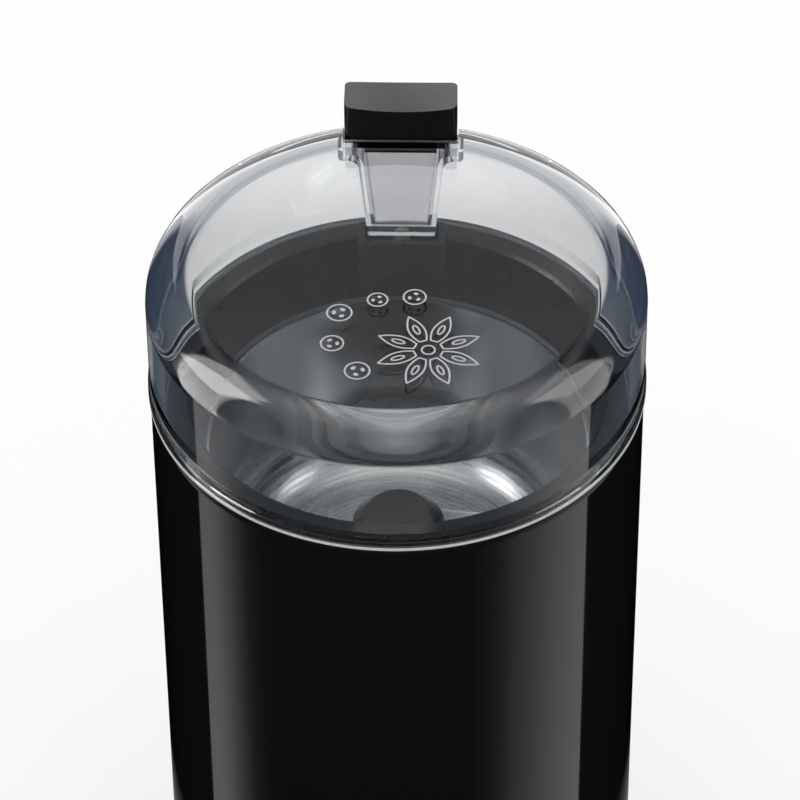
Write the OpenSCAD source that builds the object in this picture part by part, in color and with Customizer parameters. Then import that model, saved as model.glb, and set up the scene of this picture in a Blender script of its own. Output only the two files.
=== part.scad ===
// Electric spice and coffee grinder: clear lid with its push button, steel bowl with a
// spinning blade, motor with its carriers, switch gear and base.
// Millimetres. The origin is the centre of the face it stands on, +Z is up, and +Y is the
// rear, where the push button and the cord gland are.

/* [Housing] */
// Outer diameter of the housing and of the lid's wall
body_d = 88; // [88:1:96]
// Wall thickness of the housing
body_wall = 2.4; // [2:0.2:2.8]
// Chamfer along the housing's top and bottom edges
body_chamfer = 0.6; // [0.3:0.1:1]
// Thickness of the ledge inside the housing that carries the collar and the bowl
ledge_t = 3; // [2.5:0.5:4]
// Radius of the posts that carry the motor
post_r = 3; // [2.8:0.1:3]
// Thickness of the webs that tie posts and tubes to the wall
web_t = 2.4; // [1.6:0.2:3]
// Radius of the tubes for the base screws
tube_r = 4; // [3.6:0.1:4.2]
// Length of the tubes in the housing
tube_l = 18; // [16:1:24]

/* [Base] */
// Height of the base tray's visible wall
base_h = 13; // [12:0.5:18]
// How far the base tray's wall stands back from the housing
base_step = 0.8; // [0.4:0.2:1.2]
// Chamfer along the tray's lower edge
base_chamfer = 1.5; // [1:0.1:2]
// Thickness of the tray's floor
floor_t = 2.5; // [2:0.5:3.5]
// Height of the spigot that centres the housing on the tray
spigot_h = 4; // [3:0.5:6]
// Wall thickness of the spigot
spigot_t = 2; // [1.6:0.1:2.4]
// How far the rubber ring stands below the tray
foot_h = 2.5; // [1.5:0.5:4]
// Distance from the tray's outer face to the rubber ring
foot_inset = 10.2; // [10:0.2:14]
// Width of the rubber ring
foot_w = 4.5; // [3.5:0.5:5]
// Depth of the rubber ring's groove in the tray
foot_groove = 1.2; // [0.8:0.2:1.6]
// Number of air slots in the floor
vent_count = 16; // [12:1:20]
// Width of an air slot
vent_w = 2.4; // [1.6:0.2:3]
// Distance from the centre to the air slots
vent_start = 11; // [8:1:14]
// Depth at which the base screws' heads sit in the tray
base_screw_depth = 9; // [7:0.5:10]

/* [Cord gland] */
// Bore of the cord gland
gland_bore_d = 5.8; // [5:0.2:6.4]
// Wall of the gland's sleeve
gland_wall = 1.2; // [1:0.1:1.4]
// How far the gland's flange reaches past its sleeve
gland_flange = 1.1; // [0.8:0.1:1.2]
// Thickness of the gland's flange
gland_flange_t = 1.4; // [1.2:0.1:1.8]
// Depth of the flange's seat in the tray's wall
gland_seat = 1; // [0.8:0.1:1.2]
// Length of the gland's bore
gland_length = 7; // [6:0.5:8]
// Height of the cord's axis above the tray's floor
cord_rise = 4.8; // [4.6:0.2:5.6]
// Depth of the cord clamp along the cord
clamp_depth = 5.4; // [4:0.2:6]
// Gap between the cord clamp and the gland
clamp_gap = 0.7; // [0.5:0.1:1.2]
// Thickness of the cord clamp over the cord
clamp_t = 1.8; // [1.4:0.1:2.2]
// Radius of the clamp's posts
clamp_post_r = 2.6; // [2.4:0.1:2.8]

/* [Lid] */
// Height of the lid
lid_h = 26.6; // [25:0.2:32]
// Wall thickness of the lid
lid_wall = 2.6; // [2.2:0.1:3]
// Radius of the lid's rounded top edge
lid_round = 6.5; // [5:0.5:8]
// Radius of the corner inside that edge
lid_inner_round = 6; // [4:0.5:7]
// How far the lid's bottom bead stands out from its wall
bead_out = 0.3; // [0.2:0.1:0.6]
// Height of the lid's bottom bead
bead_h = 3.2; // [2.4:0.2:4]
// Radius of the bead's rounded edges
bead_round = 0.8; // [0.5:0.1:1]
// Gap between the lid's bottom face and the shoulder
lid_gap = 0.1; // [0.05:0.05:0.2]

/* [Push button] */
// Width of the push button
button_w = 20.3; // [19:0.1:22]
// Depth of the push button, from its front face to the lid's outer wall
button_depth = 8.6; // [8:0.1:8.8]
// How far the button's ends stand above the lid
button_rise = 7.1; // [6:0.1:9]
// How far the button's head reaches below the lid's top face
head_drop = 1.4; // [1:0.1:2]
// How far the stem under the button's head reaches below the lid's top face
button_drop = 4.3; // [3.8:0.1:5]
// Width to which the stem flares out under the button's head
stem_w = 16.4; // [15:0.2:18]
// Depth of the thumb dish in the button's top
dish_depth = 1; // [0.5:0.1:1.5]
// Radius of the button's upright corners
button_corner = 1.4; // [0.8:0.2:2]
// Gap between the button and the lid's pocket
button_gap = 0.25; // [0.2:0.05:0.35]
// Travel of the push button
button_travel = 3; // [2:0.5:3]
// Width of the push rod at the button
rod_top_w = 13; // [11.5:0.1:14]
// Width of the push rod at its lower end
rod_bottom_w = 9.2; // [8.6:0.1:10]
// Thickness of the push rod
rod_t = 2.6; // [2:0.1:2.8]
// Height of the push rod's lower end above the shoulder
rod_lift = 2; // [1.5:0.1:3]
// Width of the tongue by which the push rod is fixed in the button
tongue_w = 10; // [8:0.5:11]
// Length of that tongue
tongue_l = 6.5; // [5:0.5:7]
// Thickness of the walls of the pocket and the guide in the lid
guide_wall = 0.9; // [0.8:0.1:1.3]
// Gap on each side between the push rod and its guide
guide_gap = 0.5; // [0.4:0.05:0.6]
// Gap between the push rod's front face and the guide
rod_gap = 0.8; // [0.5:0.1:0.9]
// How far each catch stands out at the push rod's lower end
catch_out = 1.6; // [1.2:0.1:1.8]
// Height of the catches
catch_h = 3.6; // [3:0.1:4]

/* [Collar] */
// Height of the collar's neck above the shoulder
neck_h = 1.6; // [1.4:0.1:2]
// Gap between the neck and the lid's inner wall
neck_gap = 0.3; // [0.2:0.05:0.5]
// Width of the neck's top
neck_w = 4; // [3.4:0.1:4.4]
// Depth of the collar's foot below the shoulder
collar_depth = 13; // [12:0.5:15]
// Gap on each side of the push rod in the collar's key slot
key_gap = 0.6; // [0.4:0.1:0.8]
// Wall between the key slot and the bowl
guard_t = 1.2; // [0.8:0.1:1.4]

/* [Bowl] */
// Room between the bowl's wall and the housing's, for the switch rod
bowl_room = 6.8; // [6.6:0.1:8]
// Sheet thickness of the bowl
bowl_t = 0.8; // [0.6:0.1:1]
// Depth of the bowl below its flange
bowl_depth = 34; // [32:0.5:40]
// Inner radius between the bowl's wall and floor
bowl_round = 13; // [10:0.5:15]
// Width of the bowl's flange
bowl_flange = 1.6; // [1.4:0.1:1.6]
// Thickness of the bowl's gasket
gasket_t = 1.2; // [1:0.1:1.6]
// Wall of the grommet in the bowl's hole
grommet_wall = 1.4; // [1.2:0.1:1.8]
// How far the grommet's lips reach over the bowl's floor
grommet_lip = 1.9; // [1.5:0.1:2.2]

/* [Blade] */
// Gap between the blade's tips and the bowl's wall
blade_gap = 4; // [3.5:0.5:8]
// Sheet thickness of the blade
blade_t = 1.6; // [1.2:0.1:2]
// Width of a blade wing at its root
blade_root_w = 13; // [11:0.5:15]
// Width of a blade wing at its tip
blade_tip_w = 8; // [6:0.5:10]
// Pitch of the blade's wings in degrees
blade_pitch = 14; // [8:1:18]
// Diameter of the blade's nut
nut_d = 17; // [15:0.5:18]
// Height of the blade's nut
nut_h = 6.4; // [5:0.2:8]
// Height of the nut's sloped top
nut_slope = 3; // [2:0.5:3.5]
// Thickness of the blade hub under the blade
hub_t = 3; // [2.4:0.2:4]
// Wall of the hub's skirt
hub_wall = 1.6; // [1.2:0.1:2]
// Depth of the hub's skirt
hub_skirt = 2.4; // [1.6:0.2:2.6]
// Running gap between the hub and the bearing boss
hub_gap = 0.6; // [0.4:0.1:0.8]

/* [Motor] */
// Diameter of the motor shaft
shaft_d = 6; // [5:0.5:6]
// Outer diameter of the bearing bushes
bush_d = 10; // [9:0.5:11]
// Length of a bearing bush
bush_l = 8; // [6:0.5:9]
// Wall of the bearing boss round its bush
boss_wall = 3; // [2.6:0.1:3.4]
// Height of the bearing boss above the bowl's floor
boss_rise = 4; // [3.5:0.5:6]
// Diameter of the stator's bore
stator_bore_d = 30.6; // [30:0.2:32]
// Depth of the stator core
stator_depth = 50; // [50:1:54]
// Thickness of the stator's yoke
yoke_t = 8; // [7.5:0.5:9]
// Width of a stator pole
pole_w = 17; // [15:0.5:18]
// Width of a pole's shoe
shoe_w = 25; // [23:0.5:26]
// Thickness of a pole's shoe
shoe_t = 2.4; // [2:0.1:2.6]
// Thickness of a field coil
coil_t = 4.5; // [4:0.1:6]
// Height of a coil head above the stack
head_h = 6; // [5:0.5:7]
// Height of the stator and armature stacks
stack_h = 24; // [20:1:30]
// Air gap between the armature and the stator
air_gap = 0.4; // [0.3:0.1:0.6]
// Width of an armature slot
slot_w = 2.6; // [2:0.1:3]
// Number of armature slots and of commutator bars
slot_count = 12; // [8:1:14]
// Thickness of the two motor brackets
bracket_t = 3; // [2.5:0.5:3.5]
// Width of the upper bracket's ears
ear_w = 10; // [8:0.5:12]
// Diameter of the two bolts through the motor
tie_d = 4; // [3:0.5:4]
// Thickness of the rubber buffers' flanges
buffer_t = 2; // [1.5:0.5:3]
// Room between the motor and the bowl's floor
bowl_motor_gap = 12; // [12:1:30]

/* [Brushes] */
// Diameter of the commutator
commutator_d = 15; // [14:0.5:16]
// Height of the commutator
commutator_h = 8; // [7:0.5:10]
// Width of a carbon brush
brush_w = 6; // [5:0.5:6.5]
// Height of a carbon brush
brush_h = 5; // [4:0.5:6]
// Length of a carbon brush
brush_l = 10; // [8:0.5:11]
// Sheet thickness of the brush holders
holder_wall = 0.8; // [0.6:0.1:1]
// Length of a brush holder
holder_l = 15; // [14:0.5:16]
// Wire diameter of the brush springs
brush_spring_wire = 0.4; // [0.3:0.1:0.5]

/* [Fan] */
// Room between the fan's edge and the housing
fan_room = 15.6; // [15:0.1:20]
// Height of the fan
fan_h = 9; // [7:0.5:12]
// Thickness of the fan's disc
fan_disc_t = 1.5; // [1.2:0.1:2]
// Thickness of a fan vane
vane_t = 1.2; // [1:0.1:1.6]
// Number of fan vanes
vane_count = 9; // [7:1:12]
// Room between the tray's floor and the fan
fan_gap = 8; // [8:0.5:14]

/* [Switch] */
// Diameter of the switch rod
switch_rod_d = 3; // [2.4:0.1:3]
// Radial gap between the switch rod and its guides
switch_rod_gap = 0.3; // [0.2:0.05:0.35]
// Radius of the stop collar on the switch rod
stop_r = 3; // [2.8:0.1:3]
// Length of the spring on the switch rod
spring_l = 10.6; // [9.5:0.1:12]
// Wire diameter of that spring
spring_wire = 0.5; // [0.4:0.1:0.6]
// Thickness of the rib that guides the switch rod and carries its spring
guide_rib_t = 2; // [1.6:0.1:3]
// Width of the micro switch
switch_w = 20; // [18:0.5:20]
// Thickness of the micro switch
switch_t = 6.2; // [5.6:0.2:6.4]
// Height of the micro switch
switch_h = 10; // [9:0.5:11]
// Radius of the two pegs that hold the micro switch
peg_r = 1.4; // [1.2:0.1:1.5]
// Width of the switch's key
key_w = 4; // [3:0.5:5]
// Depth of the switch's key
key_depth = 3; // [2.4:0.1:3.2]
// Length of a spade terminal
tab_l = 6; // [5:0.5:7]
// Width of a spade terminal
tab_w = 4.4; // [4:0.1:4.8]

/* [Fasteners and wiring] */
// Diameter of the screws in the collar, the posts and the base
screw_d = 3; // [2.8:0.1:3]
// Diameter of the cord clamp's screws
clamp_screw_d = 2.3; // [2:0.1:2.4]
// Depth to which a screw bites into its post
screw_bite = 8; // [6:0.5:9]
// Width of the terminal block
terminal_w = 14; // [12:0.5:15]
// Depth of the terminal block
terminal_depth = 7; // [6:0.5:7]
// Height of the terminal block
terminal_h = 8.5; // [7:0.5:9]
// Thickness of the capacitor
capacitor_t = 8; // [6:0.5:8]
// Width of the capacitor
capacitor_w = 17; // [14:0.5:18]
// Height of the capacitor
capacitor_h = 14; // [12:0.5:16]
// Thickness of the thermal cutout
cutout_t = 3; // [2.5:0.1:3.5]
// Diameter of the leads inside the housing
lead_d = 1.8; // [1.4:0.1:2]

/* [Clearances] */
// Radial running gap between the shaft and its bushes
running_gap = 0.04; // [0.02:0.01:0.08]
// Gap kept between pieces that move against each other
touch = 0.2; // [0.1:0.05:0.25]
// Gap between nested pieces that don't move against each other
seat_gap = 0.3; // [0.2:0.05:0.35]
// Gap round a pin, a screw or a sleeve in its hole
hole_gap = 0.1; // [0.05:0.05:0.15]
// Gap round a screw in the post that it bites into
bite_gap = 0.05; // [0.02:0.01:0.08]

/* [Hidden] */
$fn = 64;
eps = 0.01;
post_angles = [30, 150, 270];
collar_screw_angles = [45, 135, 225, 315];
screw_r = screw_d / 2;
screw_head_r = screw_r + 1.2;
screw_head_h = screw_r + 0.5;

// radii from the housing inwards
body_r = body_d / 2;
body_ri = body_r - body_wall;
base_r = body_r - base_step;
post_ring_r = body_ri - post_r - touch;
tube_ring_r = body_ri - tube_r - seat_gap - hole_gap;
neck_r = body_r - lid_wall - neck_gap;
bowl_outer_r = body_ri - bowl_room;
bowl_r = bowl_outer_r - bowl_t;
flange_r = bowl_outer_r + bowl_flange;
collar_screw_ring_r = (flange_r + body_ri) / 2;
fan_r = body_ri - fan_room;
shaft_r = shaft_d / 2;
press_r = shaft_r + 0.02;      // bore of what is pressed on the shaft
bush_r = bush_d / 2;
boss_r = bush_r + boss_wall;
grommet_neck_r = boss_r + hole_gap + grommet_wall;
grommet_r = grommet_neck_r + grommet_lip;

// heights from the floor upwards
tray_z = foot_h;
tray_floor_z = tray_z + floor_t;
body_z = foot_h + base_h;
fan_z = tray_floor_z + fan_gap;
shaft_bottom_z = fan_z - 1;
lower_boss_z = fan_z + fan_h + 0.5;
lower_bush_z = lower_boss_z + 1.5;
lower_bracket_z = lower_bush_z + bush_l + 1 - bracket_t;
commutator_z = lower_bracket_z + bracket_t + 2;
brush_z = commutator_z + commutator_h / 2;
stack_z = commutator_z + commutator_h + head_h + 2;
head_top_z = stack_z + stack_h + head_h;
bracket_z = head_top_z + cutout_t + 1;
post_z = bracket_z + bracket_t + buffer_t;
bowl_under_z = bracket_z + bowl_motor_gap;
bowl_floor_z = bowl_under_z + bowl_t;
flange_z = bowl_floor_z + bowl_depth;
ledge_z = flange_z - bowl_t;
seat_z = flange_z + gasket_t;
shoulder_z = ledge_z + collar_depth;
lid_top_z = shoulder_z + lid_h;

// bearing boss, blade and nut
seal_h = 1.8;
seal_r = bush_r + 1.3;
seal_recess = seal_h + 0.4;
boss_top_z = bowl_floor_z + boss_rise;
upper_bush_z = boss_top_z - seal_recess - 0.4 - bush_l;
hub_under_z = boss_top_z + hub_gap;
blade_z = hub_under_z + hub_t;
nut_z = blade_z + blade_t;
nut_over = 1.4;
shaft_top_z = nut_z + nut_h - nut_over;

// push button, push rod and switch rod, which stand in one line at the rear
button_front_y = body_r - button_depth;
button_under_z = lid_top_z - button_drop;
head_under_z = lid_top_z - head_drop;
button_top_z = lid_top_z + button_rise;
pocket_w = button_w + 2 * button_gap;
pocket_z = head_under_z - button_travel - seat_gap;
channel_flare_z = button_under_z - button_travel - seat_gap;
channel_flare_w = stem_w + 2 * seat_gap;
guide_front_y = button_front_y - button_gap - 0.15;
rod_front_y = guide_front_y + rod_gap;
rod_back_y = rod_front_y + rod_t;
rod_under_z = shoulder_z + rod_lift;
catch_top_z = rod_under_z + catch_h;
guide_low_z = catch_top_z + touch;
switch_rod_r = switch_rod_d / 2;
switch_rod_hole_r = switch_rod_r + switch_rod_gap;
switch_rod_y = flange_r + seat_gap + switch_rod_r;
switch_rod_top_z = rod_under_z - touch;
key_slot_z = switch_rod_top_z - button_travel - seat_gap;
key_slot_y = rod_front_y - key_gap;
key_slot_half_w = rod_bottom_w / 2 + catch_out + key_gap;
stop_t = 1.2;
stop_top_z = ledge_z - ledge_t - touch;
guide_rib_z = stop_top_z - stop_t - spring_l - guide_rib_t;
spring_r = stop_r - spring_wire / 2 - hole_gap;
switch_y = body_ri - switch_t / 2 - 1.8;
switch_top_z = bowl_under_z + 1;
switch_under_z = switch_top_z - switch_h;
key_rise = button_travel + 0.4;
rod_foot_z = switch_top_z + key_rise + touch;
rod_foot_t = 2;
peg_x = switch_w / 2 - peg_r - 1.1;
peg_z = switch_under_z + switch_h * 0.35;
tab_t = 0.8;
tab_x = 6;
tab_z = switch_under_z - tab_l;

// stator, armature and brackets
stator_bore_r = stator_bore_d / 2;
armature_r = stator_bore_r - air_gap;
winding_r = armature_r - 0.6;
slot_floor_r = shaft_r + 5;
coil_x = stator_bore_r + 0.9;
window_x = coil_x + coil_t + seat_gap;
stator_w = 2 * (window_x + yoke_t);
window_depth = stator_depth - 2 * yoke_t;
coil_w = window_depth - 2;
tie_r = tie_d / 2;
tie_y = (stator_depth - yoke_t) / 2;
leg_r = tie_r + 1.8;
bracket_r = stator_w / 2 - 2;
air_hole_r = 3;
tie_nut_h = 2.6;
holder_half_w = brush_w / 2 + holder_wall + 0.15;
holder_half_h = brush_h / 2 + holder_wall + 0.15;
holder_start = commutator_d / 2 + 2.5;
holder_end = holder_start + holder_l;
brush_start = commutator_d / 2 + hole_gap;
saddle_w = 8;

// base tray, gland and terminals
tube_top_z = body_z + spigot_h + 0.5;
spigot_r = body_ri - seat_gap;
spigot_ri = spigot_r - spigot_t;
foot_outer_r = base_r - foot_inset;
foot_inner_r = foot_outer_r - foot_w;
base_screw_seat_z = tray_z + base_screw_depth;
cord_z = tray_floor_z + cord_rise;
gland_bore_r = gland_bore_d / 2;
gland_r = gland_bore_r + gland_wall;
gland_flange_r = gland_r + gland_flange;
gland_seat_y = base_r - gland_seat;
gland_inner_y = gland_seat_y + gland_flange_t - gland_length;
clamp_y = gland_inner_y - clamp_gap - clamp_depth / 2 - 1.4;
clamp_x = gland_bore_r + clamp_post_r + 2;
clamp_top_z = cord_z + gland_bore_r + clamp_t;
clamp_screw_r = clamp_screw_d / 2;
terminal_angle = 52;
terminal_out_r = sqrt(pow(spigot_ri - seat_gap, 2) - pow(terminal_w / 2, 2));
terminal_ring_r = terminal_out_r - terminal_depth / 2;
terminal_top_z = tray_floor_z + terminal_h;
terminal_pitch = terminal_w / 4;
capacitor_x = -(body_ri - capacitor_t / 2 - 3.4);

// leads
lead_r = lead_d / 2;
end_bit = 0.15;                // straight bit at each end of a lead
lead_ring_r = body_ri - lead_r - 1.1;
coil_middle_x = coil_x + coil_t / 2;
coil_under_z = stack_z - head_h;

// ---- shapes used by more than one piece ----

module ring(inner_r, outer_r, z, h) {
    translate([0, 0, z]) difference() {
        cylinder(r = outer_r, h = h);
        translate([0, 0, -1]) cylinder(r = inner_r, h = h + 2);
    }
}

// A rectangle with round corners, centred
module soft_rectangle(w, h, r) {
    square([w - 2 * r, h], center = true);
    square([w, h - 2 * r], center = true);
    for (x = [-1, 1], y = [-1, 1])
        translate([x * (w / 2 - r), y * (h / 2 - r)]) circle(r);
}

// A pan head screw with its head's seat at z = 0, its shank going up
module screw_up(shank_r, shank_l, head_r, head_h) {
    cylinder(r = shank_r, h = shank_l);
    translate([0, 0, -head_h]) difference() {
        cylinder(r = head_r, h = head_h);
        for (turn = [0, 90]) rotate(turn)
            translate([-head_r * 0.6, -0.4, -eps]) cube([head_r * 1.2, 0.8, head_h * 0.5]);
    }
}

// A tube swept along points: each ring lies across the line through its neighbours
function unit(v) = v / norm(v);
function route_direction(points, i) =
    unit(points[min(i + 1, len(points) - 1)] - points[max(i - 1, 0)]);
function side_of(d) = unit(cross(d, abs(d[0]) < 0.9 ? [1, 0, 0] : [0, 1, 0]));
function sweep_ring(centre, d, side, r, sides) = [
    for (k = [0:sides - 1])
        centre + r * (cos(360 * k / sides) * side + sin(360 * k / sides) * cross(d, side))
];
function carried_sides(points, i = 0, found = []) =
    i == len(points) ? found :
    let (d = route_direction(points, i),
         raw = i == 0 ? side_of(d) : found[i - 1] - (found[i - 1] * d) * d)
    carried_sides(points, i + 1, concat(found, [unit(raw)]));

module tube_along(points, r, sides = 8) {
    across = carried_sides(points);
    rings = [for (i = [0:len(points) - 1])
        each sweep_ring(points[i], route_direction(points, i), across[i], r, sides)];
    last = len(points) - 1;
    polyhedron(rings, concat(
        [[for (k = [0:sides - 1]) k]],
        [for (i = [0:last - 1], k = [0:sides - 1])
            [i * sides + k, (i + 1) * sides + k,
             (i + 1) * sides + (k + 1) % sides, i * sides + (k + 1) % sides]],
        [[for (k = [sides - 1:-1:0]) last * sides + k]]
    ));
}

// A smooth route through a few points, each stretch a cubic with the neighbours' slopes.
// A short straight bit at each end sets the end ring square to the first or last stretch
function smooth_point(p, i, t) =
    let (a = p[max(i - 1, 0)], b = p[i], c = p[i + 1], d = p[min(i + 2, len(p) - 1)],
         m = (c - a) / 2, n = (d - b) / 2)
    (2 * t * t * t - 3 * t * t + 1) * b + (t * t * t - 2 * t * t + t) * m
    + (-2 * t * t * t + 3 * t * t) * c + (t * t * t - t * t) * n;
function smooth_route(p, steps = 5) =
    let (last = len(p) - 1, inside = [for (k = [1:steps * last - 1])
            smooth_point(p, floor(k / steps), (k % steps) / steps)])
    concat([p[0], p[0] + end_bit * unit(p[1] - p[0])], inside,
           [p[last] - end_bit * unit(p[last] - p[last - 1]), p[last]]);

// A coil spring along +Z, from z = 0 to h
module coil(r, wire, h, turns, per_turn = 14) {
    rise = h - wire;
    tube_along([for (i = [0:turns * per_turn])
        [r * cos(360 * i / per_turn), r * sin(360 * i / per_turn),
         wire / 2 + rise * i / (turns * per_turn)]], wire / 2, 6);
}

// ---- housing, collar and bowl ----

// The glossy shell: a straight tube with the ledge, posts and bosses inside
module housing() {
    color("#0b0b0d") difference() {
        union() {
            rotate_extrude() difference() {
                translate([body_ri, body_z]) square([body_wall, shoulder_z - body_z]);
                for (edge = [[body_z, 1], [shoulder_z, -1]])
                    polygon([[body_r - body_chamfer, edge[0] - edge[1]],
                             [body_r - body_chamfer, edge[0]],
                             [body_r, edge[0] + edge[1] * body_chamfer],
                             [body_r + 1, edge[0] + edge[1] * body_chamfer],
                             [body_r + 1, edge[0] - edge[1]]]);
            }
            ring(bowl_outer_r + seat_gap + hole_gap, body_ri + eps, ledge_z - ledge_t, ledge_t);
            for (a = post_angles) rotate(a) {
                housing_post(post_r, post_ring_r, post_z, ledge_z - ledge_t + eps);
                housing_post(tube_r, tube_ring_r, tube_top_z, tube_top_z + tube_l);
            }
            switch_seat();
        }
        for (a = post_angles) rotate(a) {
            translate([post_ring_r, 0, post_z - 1]) cylinder(r = screw_r, h = screw_bite + 3);
            translate([tube_ring_r, 0, tube_top_z - 1]) cylinder(r = screw_r, h = tube_l - 3);
        }
        translate([0, switch_rod_y, ledge_z - ledge_t - 1])
            cylinder(r = switch_rod_hole_r + seat_gap, h = ledge_t + 2);
        translate([0, switch_rod_y, guide_rib_z - 1])
            cylinder(r = switch_rod_hole_r, h = guide_rib_t + 2);
        collar_screw_holes(hole_gap, ledge_z - ledge_t - 1, ledge_t + 2);
    }
}

// A post that stands off the wall, tied to it by a web
module housing_post(r, ring_r, low, high) {
    translate([ring_r, 0, low]) cylinder(r = r, h = high - low);
    translate([ring_r, -web_t / 2, low]) cube([body_ri - ring_r + 0.5, web_t, high - low]);
}

// The switch rod's guide rib and the two pegs that hold the micro switch
module switch_seat() {
    rib_half_w = switch_rod_hole_r + 2.7;
    intersection() {
        translate([-rib_half_w, bowl_outer_r + touch, guide_rib_z])
            cube([2 * rib_half_w, body_r, guide_rib_t]);
        cylinder(r = body_ri + eps, h = shoulder_z);
    }
    for (x = [-peg_x, peg_x]) {
        intersection() {
            translate([x, switch_y + switch_t / 2, peg_z]) rotate([-90, 0, 0])
                cylinder(r = peg_r + 1.2, h = body_r);
            cylinder(r = body_ri + eps, h = shoulder_z);
        }
        translate([x, switch_y - switch_t / 2 - 1, peg_z]) rotate([-90, 0, 0])
            cylinder(r = peg_r, h = switch_t + 2);
    }
}

module collar_screw_holes(extra, z, h) {
    for (a = collar_screw_angles) rotate(a)
        translate([collar_screw_ring_r, 0, z]) cylinder(r = screw_r + extra, h = h);
}

// The black collar: neck for the lid, funnel into the bowl, key slot behind a guard wall
module collar() {
    mouth_r = neck_r - neck_w;
    throat_r = bowl_r + 0.5;
    outer_foot_r = flange_r + touch;
    top_z = shoulder_z + neck_h;
    color("#141416") difference() {
        union() {
            rotate_extrude() polygon([
                [throat_r, seat_z], [mouth_r, top_z - 0.6], [mouth_r + 0.6, top_z],
                [neck_r - 0.5, top_z], [neck_r, top_z - 0.5], [neck_r, ledge_z],
                [outer_foot_r, ledge_z], [outer_foot_r, seat_z]]);
            intersection() {
                translate([-key_slot_half_w - guard_t, key_slot_y - guard_t, seat_z])
                    cube([2 * (key_slot_half_w + guard_t), body_r, top_z - seat_z]);
                cylinder(r = neck_r - eps, h = top_z);
            }
        }
        translate([0, switch_rod_y, ledge_z - 1])
            cylinder(r = switch_rod_hole_r, h = key_slot_z - ledge_z + 2);
        translate([-key_slot_half_w, key_slot_y, key_slot_z])
            cube([2 * key_slot_half_w, switch_rod_y + switch_rod_hole_r - key_slot_y, 20]);
        collar_screw_holes(0, ledge_z - 1, screw_bite + 1);
    }
}

// The deep drawn steel bowl
module bowl() {
    color("#c9ccd0") rotate_extrude() {
        difference() {
            bowl_section(bowl_outer_r, bowl_under_z, bowl_round + bowl_t);
            bowl_section(bowl_r, bowl_floor_z, bowl_round);
            translate([0, bowl_under_z - 1]) square([grommet_neck_r + hole_gap, bowl_t + 2]);
        }
        translate([bowl_outer_r - eps, ledge_z]) square([bowl_flange + eps, bowl_t]);
    }
}

module bowl_section(r, low, corner) {
    translate([0, low]) square([r - corner, flange_z - low]);
    translate([0, low + corner]) square([r, flange_z - low - corner]);
    intersection() {
        translate([r - corner, low + corner]) circle(corner);
        translate([0, low]) square([r, corner]);
    }
}

module bowl_gasket() {
    color("#7d8084") ring(bowl_outer_r + hole_gap, flange_r - touch, flange_z, gasket_t);
}

// Four screws from below, through the ledge into the collar
module collar_screws() {
    color("#b9bcc0") for (a = collar_screw_angles) rotate(a)
        translate([collar_screw_ring_r, 0, ledge_z - ledge_t])
            screw_up(screw_r - bite_gap, ledge_t + screw_bite - 0.5, screw_r + 0.8, screw_r);
}

// ---- lid, push button and push rod ----

module lid_section(r, h, corner) {
    square([r, h - corner]);
    square([r - corner, h]);
    translate([r - corner, h - corner]) circle(corner);
}

// Half the width of the push rod at a height, with a margin
function rod_half_w(z, margin = 0) = margin + rod_bottom_w / 2
    + (rod_top_w - rod_bottom_w) / 2 * (z - rod_under_z) / (button_under_z - rod_under_z);

// Points of a flare that leaves a half width upright and reaches another one level
function flare(low, high, inner, outer, steps = 8) =
    [for (k = [0:steps]) [outer - (outer - inner) * cos(90 * k / steps),
                          low + (high - low) * sin(90 * k / steps)]];

// One side of the channel for the push rod and the button's stem, with a wall round it
function channel_side(low, wall = 0) =
    concat([[rod_half_w(low, guide_gap + wall), low]],
           flare(channel_flare_z, pocket_z - wall, rod_half_w(channel_flare_z, guide_gap + wall),
                 channel_flare_w / 2 + wall));

// One side of the wall round the pocket, rounded under the pocket's corner
function pocket_side(top, wall, steps = 4) =
    concat([for (k = [0:steps]) [pocket_w / 2 + wall * sin(90 * k / steps),
                                 pocket_z - wall * cos(90 * k / steps)]],
           [[pocket_w / 2 + wall, top]]);

// A flat shape with the given right side and its mirror image on the left
module two_sided(side) {
    polygon(concat(side, [for (k = [len(side) - 1:-1:0]) [-side[k][0], side[k][1]]]));
}

// Turns a drawing in x and z into a slab from y = front to y = back
module upright_slab(front, back) {
    translate([0, back, 0]) rotate([90, 0, 0]) linear_extrude(back - front) children();
}

// The clear lid, open at the bottom, with the button's opening and the rod's guide
module lid() {
    inner_r = body_r - lid_wall;
    inner_h = lid_h - lid_wall;
    color("#cfd6dc", 0.35) difference() {
        union() {
            difference() {
                translate([0, 0, shoulder_z]) rotate_extrude() {
                    translate([0, lid_gap]) lid_section(body_r, lid_h - lid_gap, lid_round);
                    translate([0, lid_gap])
                        square([body_r + bead_out - bead_round, bead_h]);
                    translate([0, lid_gap + bead_round])
                        square([body_r + bead_out, bead_h - 2 * bead_round]);
                    for (z = [bead_round, bead_h - bead_round])
                        translate([body_r + bead_out - bead_round, lid_gap + z])
                            circle(bead_round);
                }
                translate([0, 0, shoulder_z - 1])
                    rotate_extrude() lid_section(inner_r, inner_h + 1, lid_inner_round);
            }
            intersection() {
                upright_slab(guide_front_y - guide_wall, body_r)
                    two_sided(concat(channel_side(guide_low_z, guide_wall),
                                     pocket_side(shoulder_z + inner_h + eps, guide_wall)));
                translate([0, 0, shoulder_z]) cylinder(r = inner_r + eps, h = lid_h - 1);
            }
        }
        intersection() {
            upright_slab(guide_front_y, body_r)
                two_sided(concat(channel_side(guide_low_z - 1),
                                 [[channel_flare_w / 2, pocket_z + 1]]));
            translate([0, 0, shoulder_z]) cylinder(r = inner_r, h = lid_h);
        }
        translate([-pocket_w / 2, guide_front_y, pocket_z]) cube([pocket_w, body_r, lid_h]);
    }
}

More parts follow.
